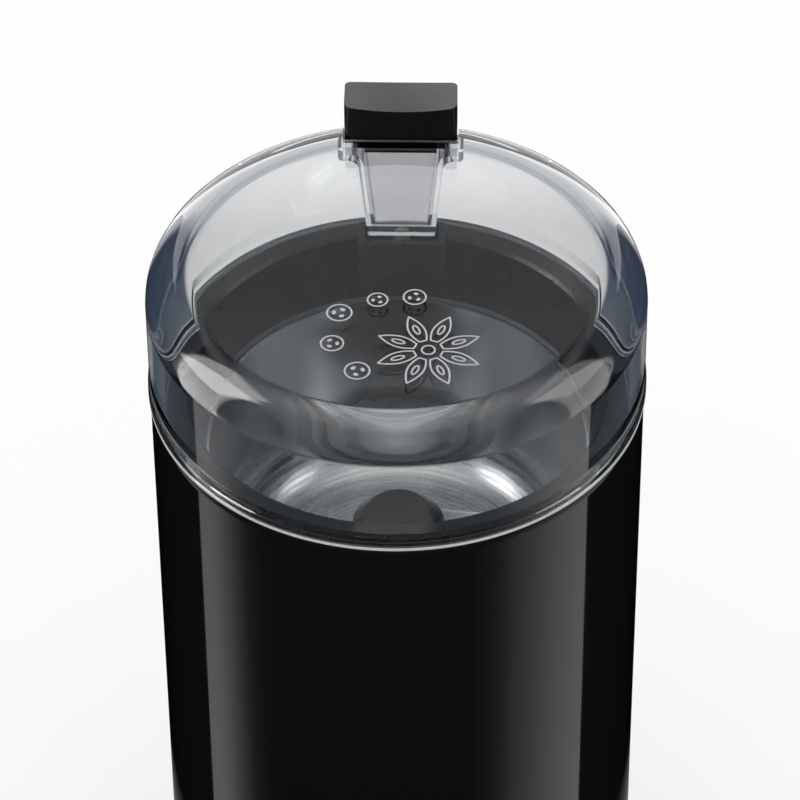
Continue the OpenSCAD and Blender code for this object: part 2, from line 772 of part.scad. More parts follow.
// Plan of the button's head, with round corners and its rear face in line with the lid
module button_plan() {
    corner_x = button_w / 2 - button_corner;
    corner_r = body_r - button_corner;
    corner_front = button_front_y + button_corner;
    corner_back = sqrt(corner_r * corner_r - corner_x * corner_x);
    rear_x = corner_x * body_r / corner_r;
    for (x = [-corner_x, corner_x], y = [corner_front, corner_back])
        translate([x, y]) circle(button_corner);
    translate([-corner_x, button_front_y]) square([2 * corner_x, button_corner + 1]);
    translate([-button_w / 2, corner_front]) square([button_w, corner_back - corner_front]);
    intersection() {
        circle(body_r, $fn = 180);
        translate([-rear_x, corner_front]) square([2 * rear_x, body_r]);
    }
}

// The black push button: a head with a thumb dish, and a flared stem that runs in the guide
module push_button() {
    dish_r = (pow(button_w / 2, 2) + pow(dish_depth, 2)) / (2 * dish_depth);
    color("#101012") difference() {
        union() {
            translate([0, 0, head_under_z]) linear_extrude(button_top_z - head_under_z)
                button_plan();
            intersection() {
                upright_slab(button_front_y, body_r)
                    two_sided(flare(button_under_z, head_under_z + eps, rod_top_w / 2,
                                    stem_w / 2));
                translate([0, 0, button_under_z - 1])
                    cylinder(r = body_r - lid_wall - guide_gap, h = button_drop + 2);
            }
        }
        translate([0, 0, button_top_z - dish_depth + dish_r]) rotate([-90, 0, 0])
            cylinder(r = dish_r, h = body_r + 1, $fn = 180);
        translate([-tongue_w / 2 - hole_gap, rod_front_y - hole_gap, button_under_z - 1])
            cube([tongue_w + 2 * hole_gap, rod_t + 2 * hole_gap, tongue_l + 1]);
    }
}

// The clear push rod: it tapers down from the button, and has a catch on each side of its foot
module push_rod() {
    color("#dfe4e8", 0.4) {
        upright_slab(rod_front_y, rod_back_y) {
            two_sided([[rod_half_w(rod_under_z), rod_under_z], [rod_top_w / 2, button_under_z]]);
            translate([0, catch_top_z - catch_h / 2])
                square([rod_bottom_w + 2 * catch_out, catch_h], center = true);
            translate([-tongue_w / 2, button_under_z - eps]) square([tongue_w, tongue_l + eps]);
        }
    }
}

// ---- switch gear ----

// The switch rod: tip in the key slot, stop under the ledge, foot over the switch key
module switch_rod() {
    color("#e9e4d6") {
        translate([0, switch_rod_y, rod_foot_z])
            cylinder(r = switch_rod_r, h = switch_rod_top_z - rod_foot_z);
        translate([0, switch_rod_y, stop_top_z - stop_t]) cylinder(r = stop_r, h = stop_t);
        translate([-switch_rod_d, switch_y - key_depth / 2 - 0.5, rod_foot_z])
            cube([2 * switch_rod_d, switch_rod_y + switch_rod_r - switch_y
                  + key_depth / 2 + 0.5, rod_foot_t]);
    }
}

module rod_spring() {
    color("#a9adb2") translate([0, switch_rod_y, guide_rib_z + guide_rib_t])
        coil(spring_r, spring_wire, spring_l, 7);
}

module micro_switch() {
    color("#2a2a2d") difference() {
        translate([-switch_w / 2, switch_y - switch_t / 2, switch_under_z])
            cube([switch_w, switch_t, switch_h]);
        for (x = [-peg_x, peg_x]) translate([x, switch_y - switch_t, peg_z])
            rotate([-90, 0, 0]) cylinder(r = peg_r + hole_gap, h = 2 * switch_t);
        translate([-key_w / 2 - touch, switch_y - key_depth / 2 - touch, switch_top_z - 4])
            cube([key_w + 2 * touch, key_depth + 2 * touch, 5]);
    }
}

module switch_key() {
    color("#b33a2e") translate([-key_w / 2, switch_y - key_depth / 2, switch_top_z - 0.6])
        cube([key_w, key_depth, key_rise + 0.6]);
}

// Two spade terminals under the micro switch
module switch_terminals() {
    color("#c8b06a") for (x = [-tab_x, tab_x])
        translate([x - tab_t / 2, switch_y - tab_w / 2, tab_z]) cube([tab_t, tab_w, tab_l]);
}

// ---- motor: fixed pieces ----

// The upper bracket: bearing boss through the bowl's floor, two legs, three ears
module upper_bracket() {
    ear_start = bracket_r - 7;
    color("#8f9398") difference() {
        union() {
            translate([0, 0, bracket_z]) cylinder(r = bracket_r, h = bracket_t);
            translate([0, 0, bracket_z]) cylinder(r = boss_r, h = boss_top_z - bracket_z);
            for (side = [-1, 1]) translate([0, side * tie_y, stack_z + stack_h])
                cylinder(r = leg_r, h = bracket_z - stack_z - stack_h + eps);
            for (a = post_angles) rotate(a) {
                translate([ear_start, -ear_w / 2, bracket_z])
                    cube([post_ring_r - ear_start, ear_w, bracket_t]);
                translate([post_ring_r, 0, bracket_z])
                    cylinder(r = body_ri - post_ring_r - seat_gap, h = bracket_t);
            }
        }
        translate([0, 0, bracket_z - 1]) cylinder(r = bush_r, h = boss_top_z - bracket_z + 2);
        translate([0, 0, boss_top_z - seal_recess]) cylinder(r = seal_r + hole_gap, h = 5);
        tie_holes(bracket_z + bracket_t + 1);
        for (a = post_angles) rotate(a) translate([post_ring_r, 0, bracket_z - 1])
            cylinder(r = screw_r + 1, h = bracket_t + 2);
        for (a = [0:60:300]) rotate(a)
            translate([(boss_r + bracket_r) / 2, 0, bracket_z - 1])
                cylinder(r = air_hole_r, h = bracket_t + 2);
    }
}

module tie_holes(high) {
    for (side = [-1, 1]) translate([0, side * tie_y, lower_bracket_z - 1])
        cylinder(r = tie_r + hole_gap, h = high - lower_bracket_z + 1);
}

// The lower bracket: bearing boss, two legs, brush saddles and the capacitor's shelf
module lower_bracket() {
    color("#2f3134") difference() {
        union() {
            translate([0, 0, lower_bracket_z]) cylinder(r = bracket_r, h = bracket_t);
            translate([0, 0, lower_boss_z])
                cylinder(r = boss_r - 0.4, h = lower_bracket_z - lower_boss_z + eps);
            for (side = [-1, 1]) translate([0, side * tie_y, lower_bracket_z])
                cylinder(r = leg_r, h = stack_z - lower_bracket_z);
            for (side = [0, 180]) rotate(side)
                translate([holder_start + 1, -saddle_w / 2, lower_bracket_z])
                    cube([holder_l - 3, saddle_w, brush_z - holder_half_h - lower_bracket_z]);
            translate([capacitor_x - capacitor_t / 2, -capacitor_w / 2, lower_bracket_z])
                cube([-capacitor_x, capacitor_w, bracket_t]);
        }
        translate([0, 0, lower_bush_z]) cylinder(r = bush_r, h = 30);
        translate([0, 0, lower_boss_z - 1]) cylinder(r = shaft_r + 0.5, h = 10);
        tie_holes(stack_z + 1);
    }
}

// Rubber spools that hold the upper bracket's ears under the posts
module motor_buffers() {
    color("#1c1c1d") for (a = post_angles) rotate(a) translate([post_ring_r, 0, 0])
        difference() {
            union() {
                translate([0, 0, bracket_z + bracket_t]) cylinder(r = post_r, h = buffer_t);
                translate([0, 0, bracket_z - buffer_t]) cylinder(r = post_r, h = buffer_t);
                translate([0, 0, bracket_z - 1])
                    cylinder(r = screw_r + 1 - hole_gap, h = bracket_t + 2);
            }
            translate([0, 0, bracket_z - buffer_t - 1])
                cylinder(r = screw_r + hole_gap, h = bracket_t + 2 * buffer_t + 2);
        }
}

module motor_screws() {
    color("#b9bcc0") for (a = post_angles) rotate(a)
        translate([post_ring_r, 0, bracket_z - buffer_t])
            screw_up(screw_r - bite_gap, bracket_t + 2 * buffer_t + screw_bite,
                     screw_head_r, screw_head_h);
}

module tie_bolts() {
    top = bracket_z + bracket_t;
    color("#b9bcc0") for (side = [-1, 1])
        translate([0, side * tie_y, top]) mirror([0, 0, 1])
            screw_up(tie_r, top - lower_bracket_z + tie_nut_h + 1.4, tie_r + 1.4, tie_r + 0.2);
}

module tie_nuts() {
    color("#b9bcc0") for (side = [-1, 1])
        translate([0, side * tie_y, lower_bracket_z - tie_nut_h]) difference() {
            cylinder(r = tie_r + 1.6, h = tie_nut_h, $fn = 6);
            translate([0, 0, -1]) cylinder(r = tie_r + bite_gap, h = tie_nut_h + 2);
        }
}

// Laminated stator: yoke, two poles with shoes, windows for the coils
module stator_core() {
    color("#6f7378") translate([0, 0, stack_z]) linear_extrude(stack_h) difference() {
        intersection() {
            circle(stator_w / 2);
            square([stator_w, stator_depth], center = true);
        }
        difference() {
            square([2 * window_x, window_depth], center = true);
            for (side = [0, 180]) rotate(side) {
                translate([0, -pole_w / 2]) square([window_x + 1, pole_w]);
                intersection() {
                    circle(stator_bore_r + shoe_t);
                    translate([0, -shoe_w / 2]) square([stator_w, shoe_w]);
                }
            }
        }
        circle(stator_bore_r);
        for (side = [-1, 1]) translate([0, side * tie_y]) circle(tie_r + hole_gap);
    }
}

// Two copper coils, one round each pole's neck
module field_coils() {
    color("#b5652b") for (side = [0, 180]) rotate(side)
        translate([coil_x, 0, stack_z + stack_h / 2]) rotate([90, 0, 90])
            linear_extrude(coil_t) difference() {
                soft_rectangle(coil_w, stack_h + 2 * head_h, head_h - 1);
                square([pole_w + 2 * seat_gap, stack_h + 2 * seat_gap], center = true);
            }
}

// The thermal cutout lies on a coil's head
module thermal_cutout() {
    color("#e8e2d0") translate([coil_x, -coil_t, head_top_z]) cube([coil_t, 2 * coil_t, cutout_t]);
}

module bush(z) {
    color("#b08d4f") ring(shaft_r + running_gap, bush_r - 0.01, z, bush_l);
}

module shaft_seal() {
    color("#242426") ring(shaft_r + 2 * running_gap, seal_r, boss_top_z - seal_recess, seal_h);
}

// The rubber grommet that seals the bowl's floor on the bearing boss
module bowl_grommet() {
    inner_r = boss_r + hole_gap;
    color("#1c1c1d") rotate_extrude() polygon([
        [inner_r, bowl_under_z - grommet_wall], [grommet_r, bowl_under_z - grommet_wall],
        [grommet_r, bowl_under_z], [grommet_neck_r, bowl_under_z],
        [grommet_neck_r, bowl_floor_z], [grommet_r, bowl_floor_z],
        [grommet_r - 0.6, bowl_floor_z + 0.8], [inner_r, bowl_floor_z + 1.2]]);
}

// Two brass boxes that guide the brushes, closed by a plate at the outer end
module brush_holders() {
    color("#c29a4a") for (side = [0, 180]) rotate(side) difference() {
        translate([holder_start, -holder_half_w, brush_z - holder_half_h])
            cube([holder_l, 2 * holder_half_w, 2 * holder_half_h]);
        translate([holder_start - 1, holder_wall - holder_half_w,
                   brush_z - holder_half_h + holder_wall])
            cube([holder_l + 1 - holder_wall, 2 * (holder_half_w - holder_wall),
                  2 * (holder_half_h - holder_wall)]);
    }
}

module carbon_brushes() {
    color("#3a3a3c") for (side = [0, 180]) rotate(side)
        translate([brush_start, -brush_w / 2, brush_z - brush_h / 2])
            cube([brush_l, brush_w, brush_h]);
}

module brush_springs() {
    spring_start = brush_start + brush_l;
    color("#a9adb2") for (side = [0, 180]) rotate(side)
        translate([spring_start, 0, brush_z]) rotate([0, 90, 0])
            coil(brush_h / 2 - 0.6, brush_spring_wire, holder_end - holder_wall - spring_start,
                 6, 12);
}

// The suppression capacitor stands on the lower bracket's shelf
module capacitor() {
    color("#d9a92e")
        translate([capacitor_x - capacitor_t / 2, -capacitor_w / 2,
                   lower_bracket_z + bracket_t])
            cube([capacitor_t, capacitor_w, capacitor_h]);
}

// ---- motor: turning pieces ----

module motor_shaft() {
    color("#c3c6ca") translate([0, 0, shaft_bottom_z])
        cylinder(r = shaft_r, h = shaft_top_z - shaft_bottom_z);
}

module armature_slots(inner, width, reach) {
    for (i = [0:slot_count - 1]) rotate(360 * i / slot_count)
        translate([inner, -width / 2]) square([reach - inner, width]);
}

module armature_core() {
    color("#6a6e73") translate([0, 0, stack_z]) linear_extrude(stack_h) difference() {
        circle(armature_r);
        circle(press_r);
        armature_slots(slot_floor_r, slot_w, armature_r + 1);
    }
}

// The armature's copper: bars in the slots and a rounded head at each end
module armature_winding() {
    head_r = winding_r - 0.8;
    head_ri = shaft_r + 1.4;
    color("#a85a26") {
        translate([0, 0, stack_z]) linear_extrude(stack_h)
            armature_slots(slot_floor_r + touch, slot_w - 2 * touch, winding_r);
        for (z = [coil_under_z, stack_z + stack_h]) translate([0, 0, z + head_h / 2])
            rotate_extrude() translate([(head_r + head_ri) / 2, 0])
                soft_rectangle(head_r - head_ri, head_h, head_h / 3);
    }
}

module commutator() {
    commutator_r = commutator_d / 2;
    color("#b87333") translate([0, 0, commutator_z]) difference() {
        cylinder(r = commutator_r, h = commutator_h);
        translate([0, 0, -1]) cylinder(r = press_r, h = commutator_h + 2);
        for (i = [0:slot_count - 1]) rotate(360 * (i + 0.5) / slot_count)
            translate([commutator_r - 0.8, -0.3, -1]) cube([2, 0.6, commutator_h + 2]);
    }
}

// Thrust washers that keep the armature between its brackets
module shaft_washers() {
    washer_t = 0.8;
    play = 0.4;
    color("#c8b06a") for (z = [bracket_z - play - washer_t, lower_bracket_z + bracket_t + play])
        ring(press_r, bush_r + 1, z, washer_t);
}

module fan() {
    hub_r = shaft_r + 3.5;
    color("#3b4a57") difference() {
        union() {
            translate([0, 0, fan_z]) cylinder(r = hub_r, h = fan_h);
            translate([0, 0, fan_z + fan_h - fan_disc_t]) cylinder(r = fan_r, h = fan_disc_t);
            for (i = [0:vane_count - 1]) rotate(360 * i / vane_count)
                translate([hub_r - 1, -vane_t / 2, fan_z + 1])
                    cube([fan_r - hub_r, vane_t, fan_h - 1 - fan_disc_t / 2]);
        }
        translate([0, 0, fan_z - 1]) cylinder(r = press_r, h = fan_h + 2);
    }
}

// The hub's skirt covers the bearing boss and keeps the grounds out
module blade_hub() {
    skirt_ri = boss_r + hub_gap;
    skirt_r = skirt_ri + hub_wall;
    color("#141416") rotate_extrude() polygon([
        [press_r, hub_under_z], [skirt_ri, hub_under_z], [skirt_ri, hub_under_z - hub_skirt],
        [skirt_r, hub_under_z - hub_skirt], [skirt_r, blade_z - 1.2],
        [skirt_r - 1.2, blade_z], [press_r, blade_z]]);
}

// The steel blade: a centre disc and two tapered wings, pitched opposite ways
module blade() {
    tip_r = bowl_r - blade_gap;
    color("#d4d7da") translate([0, 0, blade_z]) difference() {
        union() {
            cylinder(r = blade_root_w / 2 + 1, h = blade_t);
            for (side = [0, 180]) rotate(side) translate([0, 0, blade_t / 2])
                rotate([blade_pitch, 0, 0]) translate([0, 0, -blade_t / 2])
                    linear_extrude(blade_t)
                        polygon([[0, -blade_root_w / 2],
                                 [tip_r - blade_tip_w / 3, -blade_tip_w / 2],
                                 [tip_r, -blade_tip_w / 6], [tip_r, blade_tip_w / 2],
                                 [0, blade_root_w / 2]]);
        }
        translate([0, 0, -5]) cylinder(r = press_r, h = 10);
        ring(0, nut_d / 2 + seat_gap, blade_t, 4);
        ring(0, boss_r + hub_gap + hub_wall + touch, -4, 4);
    }
}

// The blade's nut, with a sloped top and grip flutes
module blade_nut() {
    nut_r = nut_d / 2;
    slope_z = nut_z + nut_h - nut_slope;
    color("#141416") difference() {
        union() {
            translate([0, 0, nut_z]) cylinder(r = nut_r, h = slope_z - nut_z);
            translate([0, 0, slope_z]) cylinder(r1 = nut_r, r2 = nut_r - nut_slope, h = nut_slope);
        }
        translate([0, 0, nut_z - 1]) cylinder(r = press_r, h = shaft_top_z - nut_z + 1.1);
        for (i = [0:7]) rotate(45 * i) translate([nut_r + 0.8, 0, nut_z + 1])
            cylinder(r = 1.6, h = nut_h);
    }
}

// ---- base ----

module tray_profile() {
    difference() {
        polygon([[0, tray_z], [base_r - base_chamfer, tray_z], [base_r, tray_z + base_chamfer],
                 [base_r, body_z], [spigot_r, body_z], [spigot_r, body_z + spigot_h - 0.5],
                 [spigot_r - 0.5, body_z + spigot_h], [0, body_z + spigot_h]]);
        translate([0, tray_floor_z]) square([spigot_ri, spigot_h + base_h]);
        translate([foot_inner_r - hole_gap, tray_z - 1])
            square([foot_w + 2 * hole_gap, foot_groove + 1]);
    }
}

// The base tray: floor with air slots, screw tubes, gland seat and clamp posts
module base_tray() {
    color("#18181a") difference() {
        union() {
            rotate_extrude() tray_profile();
            for (a = post_angles) rotate(a) translate([tube_ring_r, 0, tray_z + 1])
                cylinder(r = tube_r, h = tube_top_z - tray_z - 1);
            intersection() {
                translate([0, gland_inner_y + 1, cord_z]) rotate([-90, 0, 0])
                    cylinder(r = gland_flange_r + 1.2, h = gland_length);
                translate([0, 0, tray_z + base_chamfer])
                    cylinder(r = base_r, h = base_h - base_chamfer);
            }
            for (x = [-clamp_x, clamp_x]) translate([x, clamp_y, tray_floor_z - 0.5])
                cylinder(r = clamp_post_r, h = cord_rise + 0.5);
        }
        for (a = post_angles) rotate(a) translate([tube_ring_r, 0, 0]) {
            translate([0, 0, tray_z - 1])
                cylinder(r = screw_head_r + touch, h = base_screw_seat_z - tray_z + 1);
            cylinder(r = screw_r + hole_gap, h = tube_top_z + 1);
        }
        for (i = [0:vent_count - 1]) rotate(360 * (i + 0.5) / vent_count)
            translate([vent_start, -vent_w / 2, tray_z - 1])
                cube([foot_inner_r - vent_start - 3, vent_w, floor_t + 2]);
        translate([0, gland_seat_y, cord_z]) rotate([-90, 0, 0])
            cylinder(r = gland_flange_r + hole_gap, h = 10);
        translate([0, body_r / 2, cord_z]) rotate([-90, 0, 0])
            cylinder(r = gland_r + 0.02, h = body_r);
        for (x = [-clamp_x, clamp_x]) translate([x, clamp_y, tray_floor_z])
            cylinder(r = clamp_screw_r + bite_gap, h = 2 * cord_rise);
    }
}

module foot_ring() {
    color("#1f1f20") ring(foot_inner_r, foot_outer_r, 0, foot_h + foot_groove);
}

module base_screws() {
    shank_l = tube_top_z + tube_l - 6 - base_screw_seat_z;
    color("#b9bcc0") for (a = post_angles) rotate(a)
        translate([tube_ring_r, 0, base_screw_seat_z])
            screw_up(screw_r - bite_gap, shank_l, screw_head_r, screw_head_h);
}

// The rubber gland: a flanged sleeve in the rear wall of the tray
module cord_gland() {
    color("#1c1c1d") difference() {
        union() {
            translate([0, gland_seat_y, cord_z]) rotate([-90, 0, 0])
                cylinder(r = gland_flange_r, h = gland_flange_t);
            translate([0, gland_inner_y, cord_z]) rotate([-90, 0, 0])
                cylinder(r = gland_r, h = gland_length);
        }
        translate([0, gland_inner_y - 1, cord_z]) rotate([-90, 0, 0])
            cylinder(r = gland_bore_r, h = gland_length + 2);
    }
}

// The bar that clamps the cord on the two posts
module cord_clamp() {
    half_w = clamp_x + clamp_post_r + touch;
    color("#2a2a2d") difference() {
        translate([-half_w, clamp_y - clamp_depth / 2, cord_z])
            cube([2 * half_w, clamp_depth, gland_bore_r + clamp_t]);
        translate([0, clamp_y, cord_z]) rotate([90, 0, 0])
            cylinder(r = gland_bore_r + hole_gap, h = 2 * clamp_depth, center = true);
        for (x = [-clamp_x, clamp_x]) translate([x, clamp_y, cord_z - 1])
            cylinder(r = clamp_screw_r + 2 * hole_gap, h = 2 * cord_rise);
    }
}

module clamp_screws() {
    color("#b9bcc0") for (x = [-clamp_x, clamp_x]) translate([x, clamp_y, clamp_top_z])
        mirror([0, 0, 1]) screw_up(clamp_screw_r, clamp_top_z - tray_floor_z - 0.5,
                                   clamp_screw_d, 1.6);
}

module terminal_block() {
    color("#e6e3da") rotate(terminal_angle)
        translate([terminal_ring_r, 0, tray_floor_z]) difference() {
            translate([-terminal_depth / 2, -terminal_w / 2, 0])
                cube([terminal_depth, terminal_w, terminal_h]);
            for (t = [-terminal_pitch, terminal_pitch]) translate([0, t, terminal_h - 3])
                cylinder(r = lead_r - 0.1, h = 4);
        }
}

// ---- leads inside the housing ----

function on_ring(a, r, z) = [r * cos(a), r * sin(a), z];

module lead(shade, points) {
    color(shade) tube_along(smooth_route(points), lead_r);
}

// From the terminal block up the wall to the micro switch
module live_lead() {
    angle = terminal_angle + 5.8;
    lead("#6b3a1e", [
        on_ring(angle, terminal_ring_r, terminal_top_z),
        on_ring(angle, terminal_ring_r, terminal_top_z + 2.5),
        on_ring(angle, terminal_ring_r + 1, terminal_top_z + 6),
        on_ring(angle + 2, lead_ring_r, terminal_top_z + 16),
        on_ring(angle + 6, lead_ring_r, (terminal_top_z + tab_z) / 2),
        on_ring(angle + 12, lead_ring_r, tab_z - 14),
        [tab_x, switch_y, tab_z - 6], [tab_x, switch_y, tab_z - 3], [tab_x, switch_y, tab_z]]);
}

// From the micro switch down to a field coil
module switched_lead() {
    lead("#3a3a3e", [
        [-tab_x, switch_y, tab_z], [-tab_x, switch_y, tab_z - 3], [-tab_x, switch_y, tab_z - 6],
        on_ring(112, lead_ring_r - 2, tab_z - 14),
        on_ring(130, stator_w / 2 + 6, stack_z + 9),
        on_ring(139, stator_w / 2 + 3, stack_z - 4),
        [-coil_middle_x, 11, coil_under_z - 4.5],
        [-coil_middle_x, 9, coil_under_z - 2], [-coil_middle_x, 9, coil_under_z]]);
}

// From the same coil to the brush holder under it
module coil_lead() {
    lead("#3a3a3e", [
        [-coil_middle_x, -9, coil_under_z], [-coil_middle_x, -9, coil_under_z - 2],
        [-coil_middle_x, -8.5, brush_z + 1], [-coil_middle_x, -6.5, brush_z],
        [-coil_middle_x, -holder_half_w, brush_z]]);
}

// From the terminal block up past the lower bracket, then in to the other brush holder
module neutral_lead() {
    angle = terminal_angle - 5.8;
    inner_ring_r = tube_ring_r - tube_r - 2.4;
    lead("#2b5f9e", [
        on_ring(angle, terminal_ring_r, terminal_top_z),
        on_ring(angle, terminal_ring_r, terminal_top_z + 2.5),
        on_ring(angle, terminal_ring_r, (terminal_top_z + brush_z) / 2),
        on_ring(angle - 2, terminal_ring_r - 1, brush_z - 5),
        on_ring(angle - 14, inner_ring_r, brush_z - 1),
        on_ring(angle - 30, inner_ring_r - 0.5, brush_z),
        [holder_end + 4, 2, brush_z], [holder_end + 1.5, 0, brush_z],
        [holder_end, 0, brush_z]]);
}

housing();
collar();
bowl();
bowl_gasket();
collar_screws();
base_tray();
foot_ring();
base_screws();
cord_gland();
cord_clamp();
clamp_screws();
terminal_block();
lid();
push_button();
push_rod();
switch_rod();
rod_spring();
micro_switch();
switch_key();
switch_terminals();
upper_bracket();
lower_bracket();
motor_buffers();
motor_screws();
tie_bolts();
tie_nuts();
stator_core();
field_coils();
thermal_cutout();
bush(upper_bush_z);  // upper_bush
bush(lower_bush_z);  // lower_bush
shaft_seal();
bowl_grommet();
brush_holders();
carbon_brushes();
brush_springs();
motor_shaft();
armature_core();
armature_winding();
commutator();
shaft_washers();
fan();
blade_hub();
blade();
blade_nut();
capacitor();
live_lead();
switched_lead();
coil_lead();
neutral_lead();
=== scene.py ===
"""Electric spice and coffee grinder, dressed piece by piece in the order it is put together."""
from math import cos, pi, radians, sin, sqrt, tan

import bpy
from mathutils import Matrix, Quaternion, Vector


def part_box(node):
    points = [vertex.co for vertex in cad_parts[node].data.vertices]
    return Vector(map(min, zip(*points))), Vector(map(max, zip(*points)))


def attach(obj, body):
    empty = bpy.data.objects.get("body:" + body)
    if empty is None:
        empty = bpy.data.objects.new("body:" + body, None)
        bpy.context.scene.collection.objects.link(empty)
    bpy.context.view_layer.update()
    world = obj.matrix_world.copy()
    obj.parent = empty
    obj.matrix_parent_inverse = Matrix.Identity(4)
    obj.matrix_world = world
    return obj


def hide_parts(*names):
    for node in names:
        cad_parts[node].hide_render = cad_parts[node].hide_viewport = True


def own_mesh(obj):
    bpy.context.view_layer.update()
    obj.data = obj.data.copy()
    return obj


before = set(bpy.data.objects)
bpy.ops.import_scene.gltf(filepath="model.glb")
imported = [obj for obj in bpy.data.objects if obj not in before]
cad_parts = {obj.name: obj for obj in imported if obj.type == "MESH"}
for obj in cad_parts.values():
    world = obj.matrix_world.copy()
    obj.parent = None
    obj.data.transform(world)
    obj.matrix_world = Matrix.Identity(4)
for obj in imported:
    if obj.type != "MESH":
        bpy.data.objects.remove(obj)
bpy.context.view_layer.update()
MM = 0.001


# ---- base tray ----
# The tray that closes the housing from below is moulded in black ABS in a spark-eroded
# tool, so its skin is matt and finely grained. Three screws hold it in the housing's tubes.


def linear(hex_colour):
    """An sRGB hex colour as linear RGBA."""
    parts = [int(hex_colour[i:i + 2], 16) / 255 for i in (1, 3, 5)]
    return [c / 12.92 if c <= 0.04045 else ((c + 0.055) / 1.055) ** 2.4 for c in parts] + [1]


def add_node(tree, kind, inputs=None, **options):
    """Adds a shader node. A socket given as an input is linked, and a number is set."""
    node = tree.nodes.new("ShaderNode" + kind)
    for name, value in options.items():
        setattr(node, name, value)
    for name, value in (inputs or {}).items():
        if isinstance(value, bpy.types.NodeSocket):
            tree.links.new(value, node.inputs[name])
        else:
            node.inputs[name].default_value = value
    return node


def new_material(name, colour, roughness, **shader_inputs):
    """A material with a Principled shader and Object coordinates. Returns it with all three."""
    material = bpy.data.materials.new(name)
    material.use_nodes = True
    tree = material.node_tree
    tree.nodes.clear()
    inputs = {"Base Color": linear(colour), "Roughness": roughness}
    inputs.update({key.replace("_", " "): value for key, value in shader_inputs.items()})
    shader = add_node(tree, "BsdfPrincipled", inputs)
    add_node(tree, "OutputMaterial", {"Surface": shader.outputs[0]})
    place = add_node(tree, "TexCoord").outputs["Object"]
    return material, tree, shader, place


def per_mm(grain):
    """The noise scale at which one grain has this size in millimetres."""
    return 1 / (grain * MM)


def grain(tree, shader, place, size, depth, rough=(0.0, 0.0), tint=None, detail=2.0):
    """Surface grain of a size and depth in millimetres, with its spread of roughness and colour."""
    noise = add_node(tree, "TexNoise", {"Vector": place, "Scale": per_mm(size), "Detail": detail})
    bump = add_node(tree, "Bump", {"Height": noise.outputs["Fac"], "Distance": depth * MM})
    tree.links.new(bump.outputs[0], shader.inputs["Normal"])
    if rough[1] > rough[0]:
        spread = add_node(tree, "MapRange", {"Value": noise.outputs["Fac"], "From Min": 0.3,
                                             "From Max": 0.7, "To Min": rough[0],
                                             "To Max": rough[1]})
        tree.links.new(spread.outputs[0], shader.inputs["Roughness"])
    if tint:
        ramp = add_node(tree, "ValToRGB", {"Fac": noise.outputs["Fac"]})
        ramp.color_ramp.elements[0].position = 0.35
        ramp.color_ramp.elements[0].color = linear(tint[0])
        ramp.color_ramp.elements[1].position = 0.65
        ramp.color_ramp.elements[1].color = linear(tint[1])
        tree.links.new(ramp.outputs[0], shader.inputs["Base Color"])
    return noise


def dress(material, *nodes):
    """Gives CAD nodes a material."""
    for name in nodes:
        for material_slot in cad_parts[name].material_slots:
            material_slot.material = material


def moulded(name, colour, roughness, size, depth, tint=None):
    """Moulded plastic or rubber with the grain of its tool."""
    material, tree, shader, place = new_material(name, colour, roughness, IOR=1.5)
    grain(tree, shader, place, size, depth, (roughness - 0.06, roughness + 0.06), tint)
    return material


textured_abs = moulded("textured_black_abs", "#2a2a2c", 0.5, 0.35, 0.03)
dress(textured_abs, "base_tray")


# ---- foot ring, cord gland and motor rubbers ----
# The ring that the grinder stands on, the cord's gland, the motor's buffers and the two seals
# are moulded rubber, pushed on: matt, with a fine bloom that lifts the black a little.

rubber = moulded("moulded_black_rubber", "#232324", 0.72, 0.8, 0.02, ("#1d1d1e", "#2b2b2c"))
dress(rubber, "foot_ring", "cord_gland", "motor_buffers", "shaft_seal", "bowl_grommet")


# ---- screws, bolts and nuts ----
# Headed and rolled steel with a bright zinc plate, a cool grey metal with faint cloudy spots.
# They hold the collar, the tray, the cord's clamp and the motor, and tie its brackets.


def bright_metal(name, colour, roughness, size, depth, tint=None):
    """Plated, cast or sintered metal with a fine grain."""
    material, tree, shader, place = new_material(name, colour, roughness, Metallic=1.0)
    grain(tree, shader, place, size, depth, (roughness - 0.08, roughness + 0.08), tint)
    return material


zinc = bright_metal("bright_zinc_plate", "#c6c9cd", 0.3, 1.2, 0.004, ("#b9bcc2", "#d2d4d6"))
dress(zinc, "collar_screws", "base_screws", "clamp_screws", "motor_screws", "tie_bolts",
      "tie_nuts")


# ---- nylon parts ----
# The clamp, terminal block, switch, lower bracket, switch rod and fan are nylon, moulded with
# a satin skin. The capacitor's case is epoxy, dipped, with soft glossy bumps.

black_nylon = moulded("moulded_black_nylon", "#343437", 0.42, 0.6, 0.01)
dress(black_nylon, "cord_clamp", "micro_switch", "lower_bracket")
white_nylon = moulded("moulded_white_nylon", "#dedad0", 0.45, 1.5, 0.01, ("#d8d3c8", "#e4e1d8"))
dress(white_nylon, "terminal_block")
natural_nylon = moulded("natural_nylon", "#dcd5bf", 0.4, 2.0, 0.01, ("#d6ceb6", "#e2dcc8"))
dress(natural_nylon, "switch_rod", "thermal_cutout")
red_nylon = moulded("moulded_red_nylon", "#b9382c", 0.4, 1.5, 0.01, ("#b03226", "#c23f33"))
dress(red_nylon, "switch_key")
fan_nylon = moulded("glass_filled_nylon", "#54656f", 0.5, 0.5, 0.02, ("#4b5b66", "#5f707a"))
dress(fan_nylon, "fan")
film_case = moulded("dipped_epoxy", "#d9a32a", 0.3, 3.0, 0.05, ("#d39c22", "#dfab35"))
dress(film_case, "capacitor")


# ---- leads ----
# Copper strands in extruded PVC: smooth, with a slight shine. They run from the terminals to
# the switch and the motor.

for lead, shade in (("live_lead", "#6b3a1e"), ("switched_lead", "#38383c"),
                    ("coil_lead", "#38383c"), ("neutral_lead", "#2b5f9e")):
    dress(moulded(f"{lead}_pvc", shade, 0.35, 1.0, 0.01), lead)


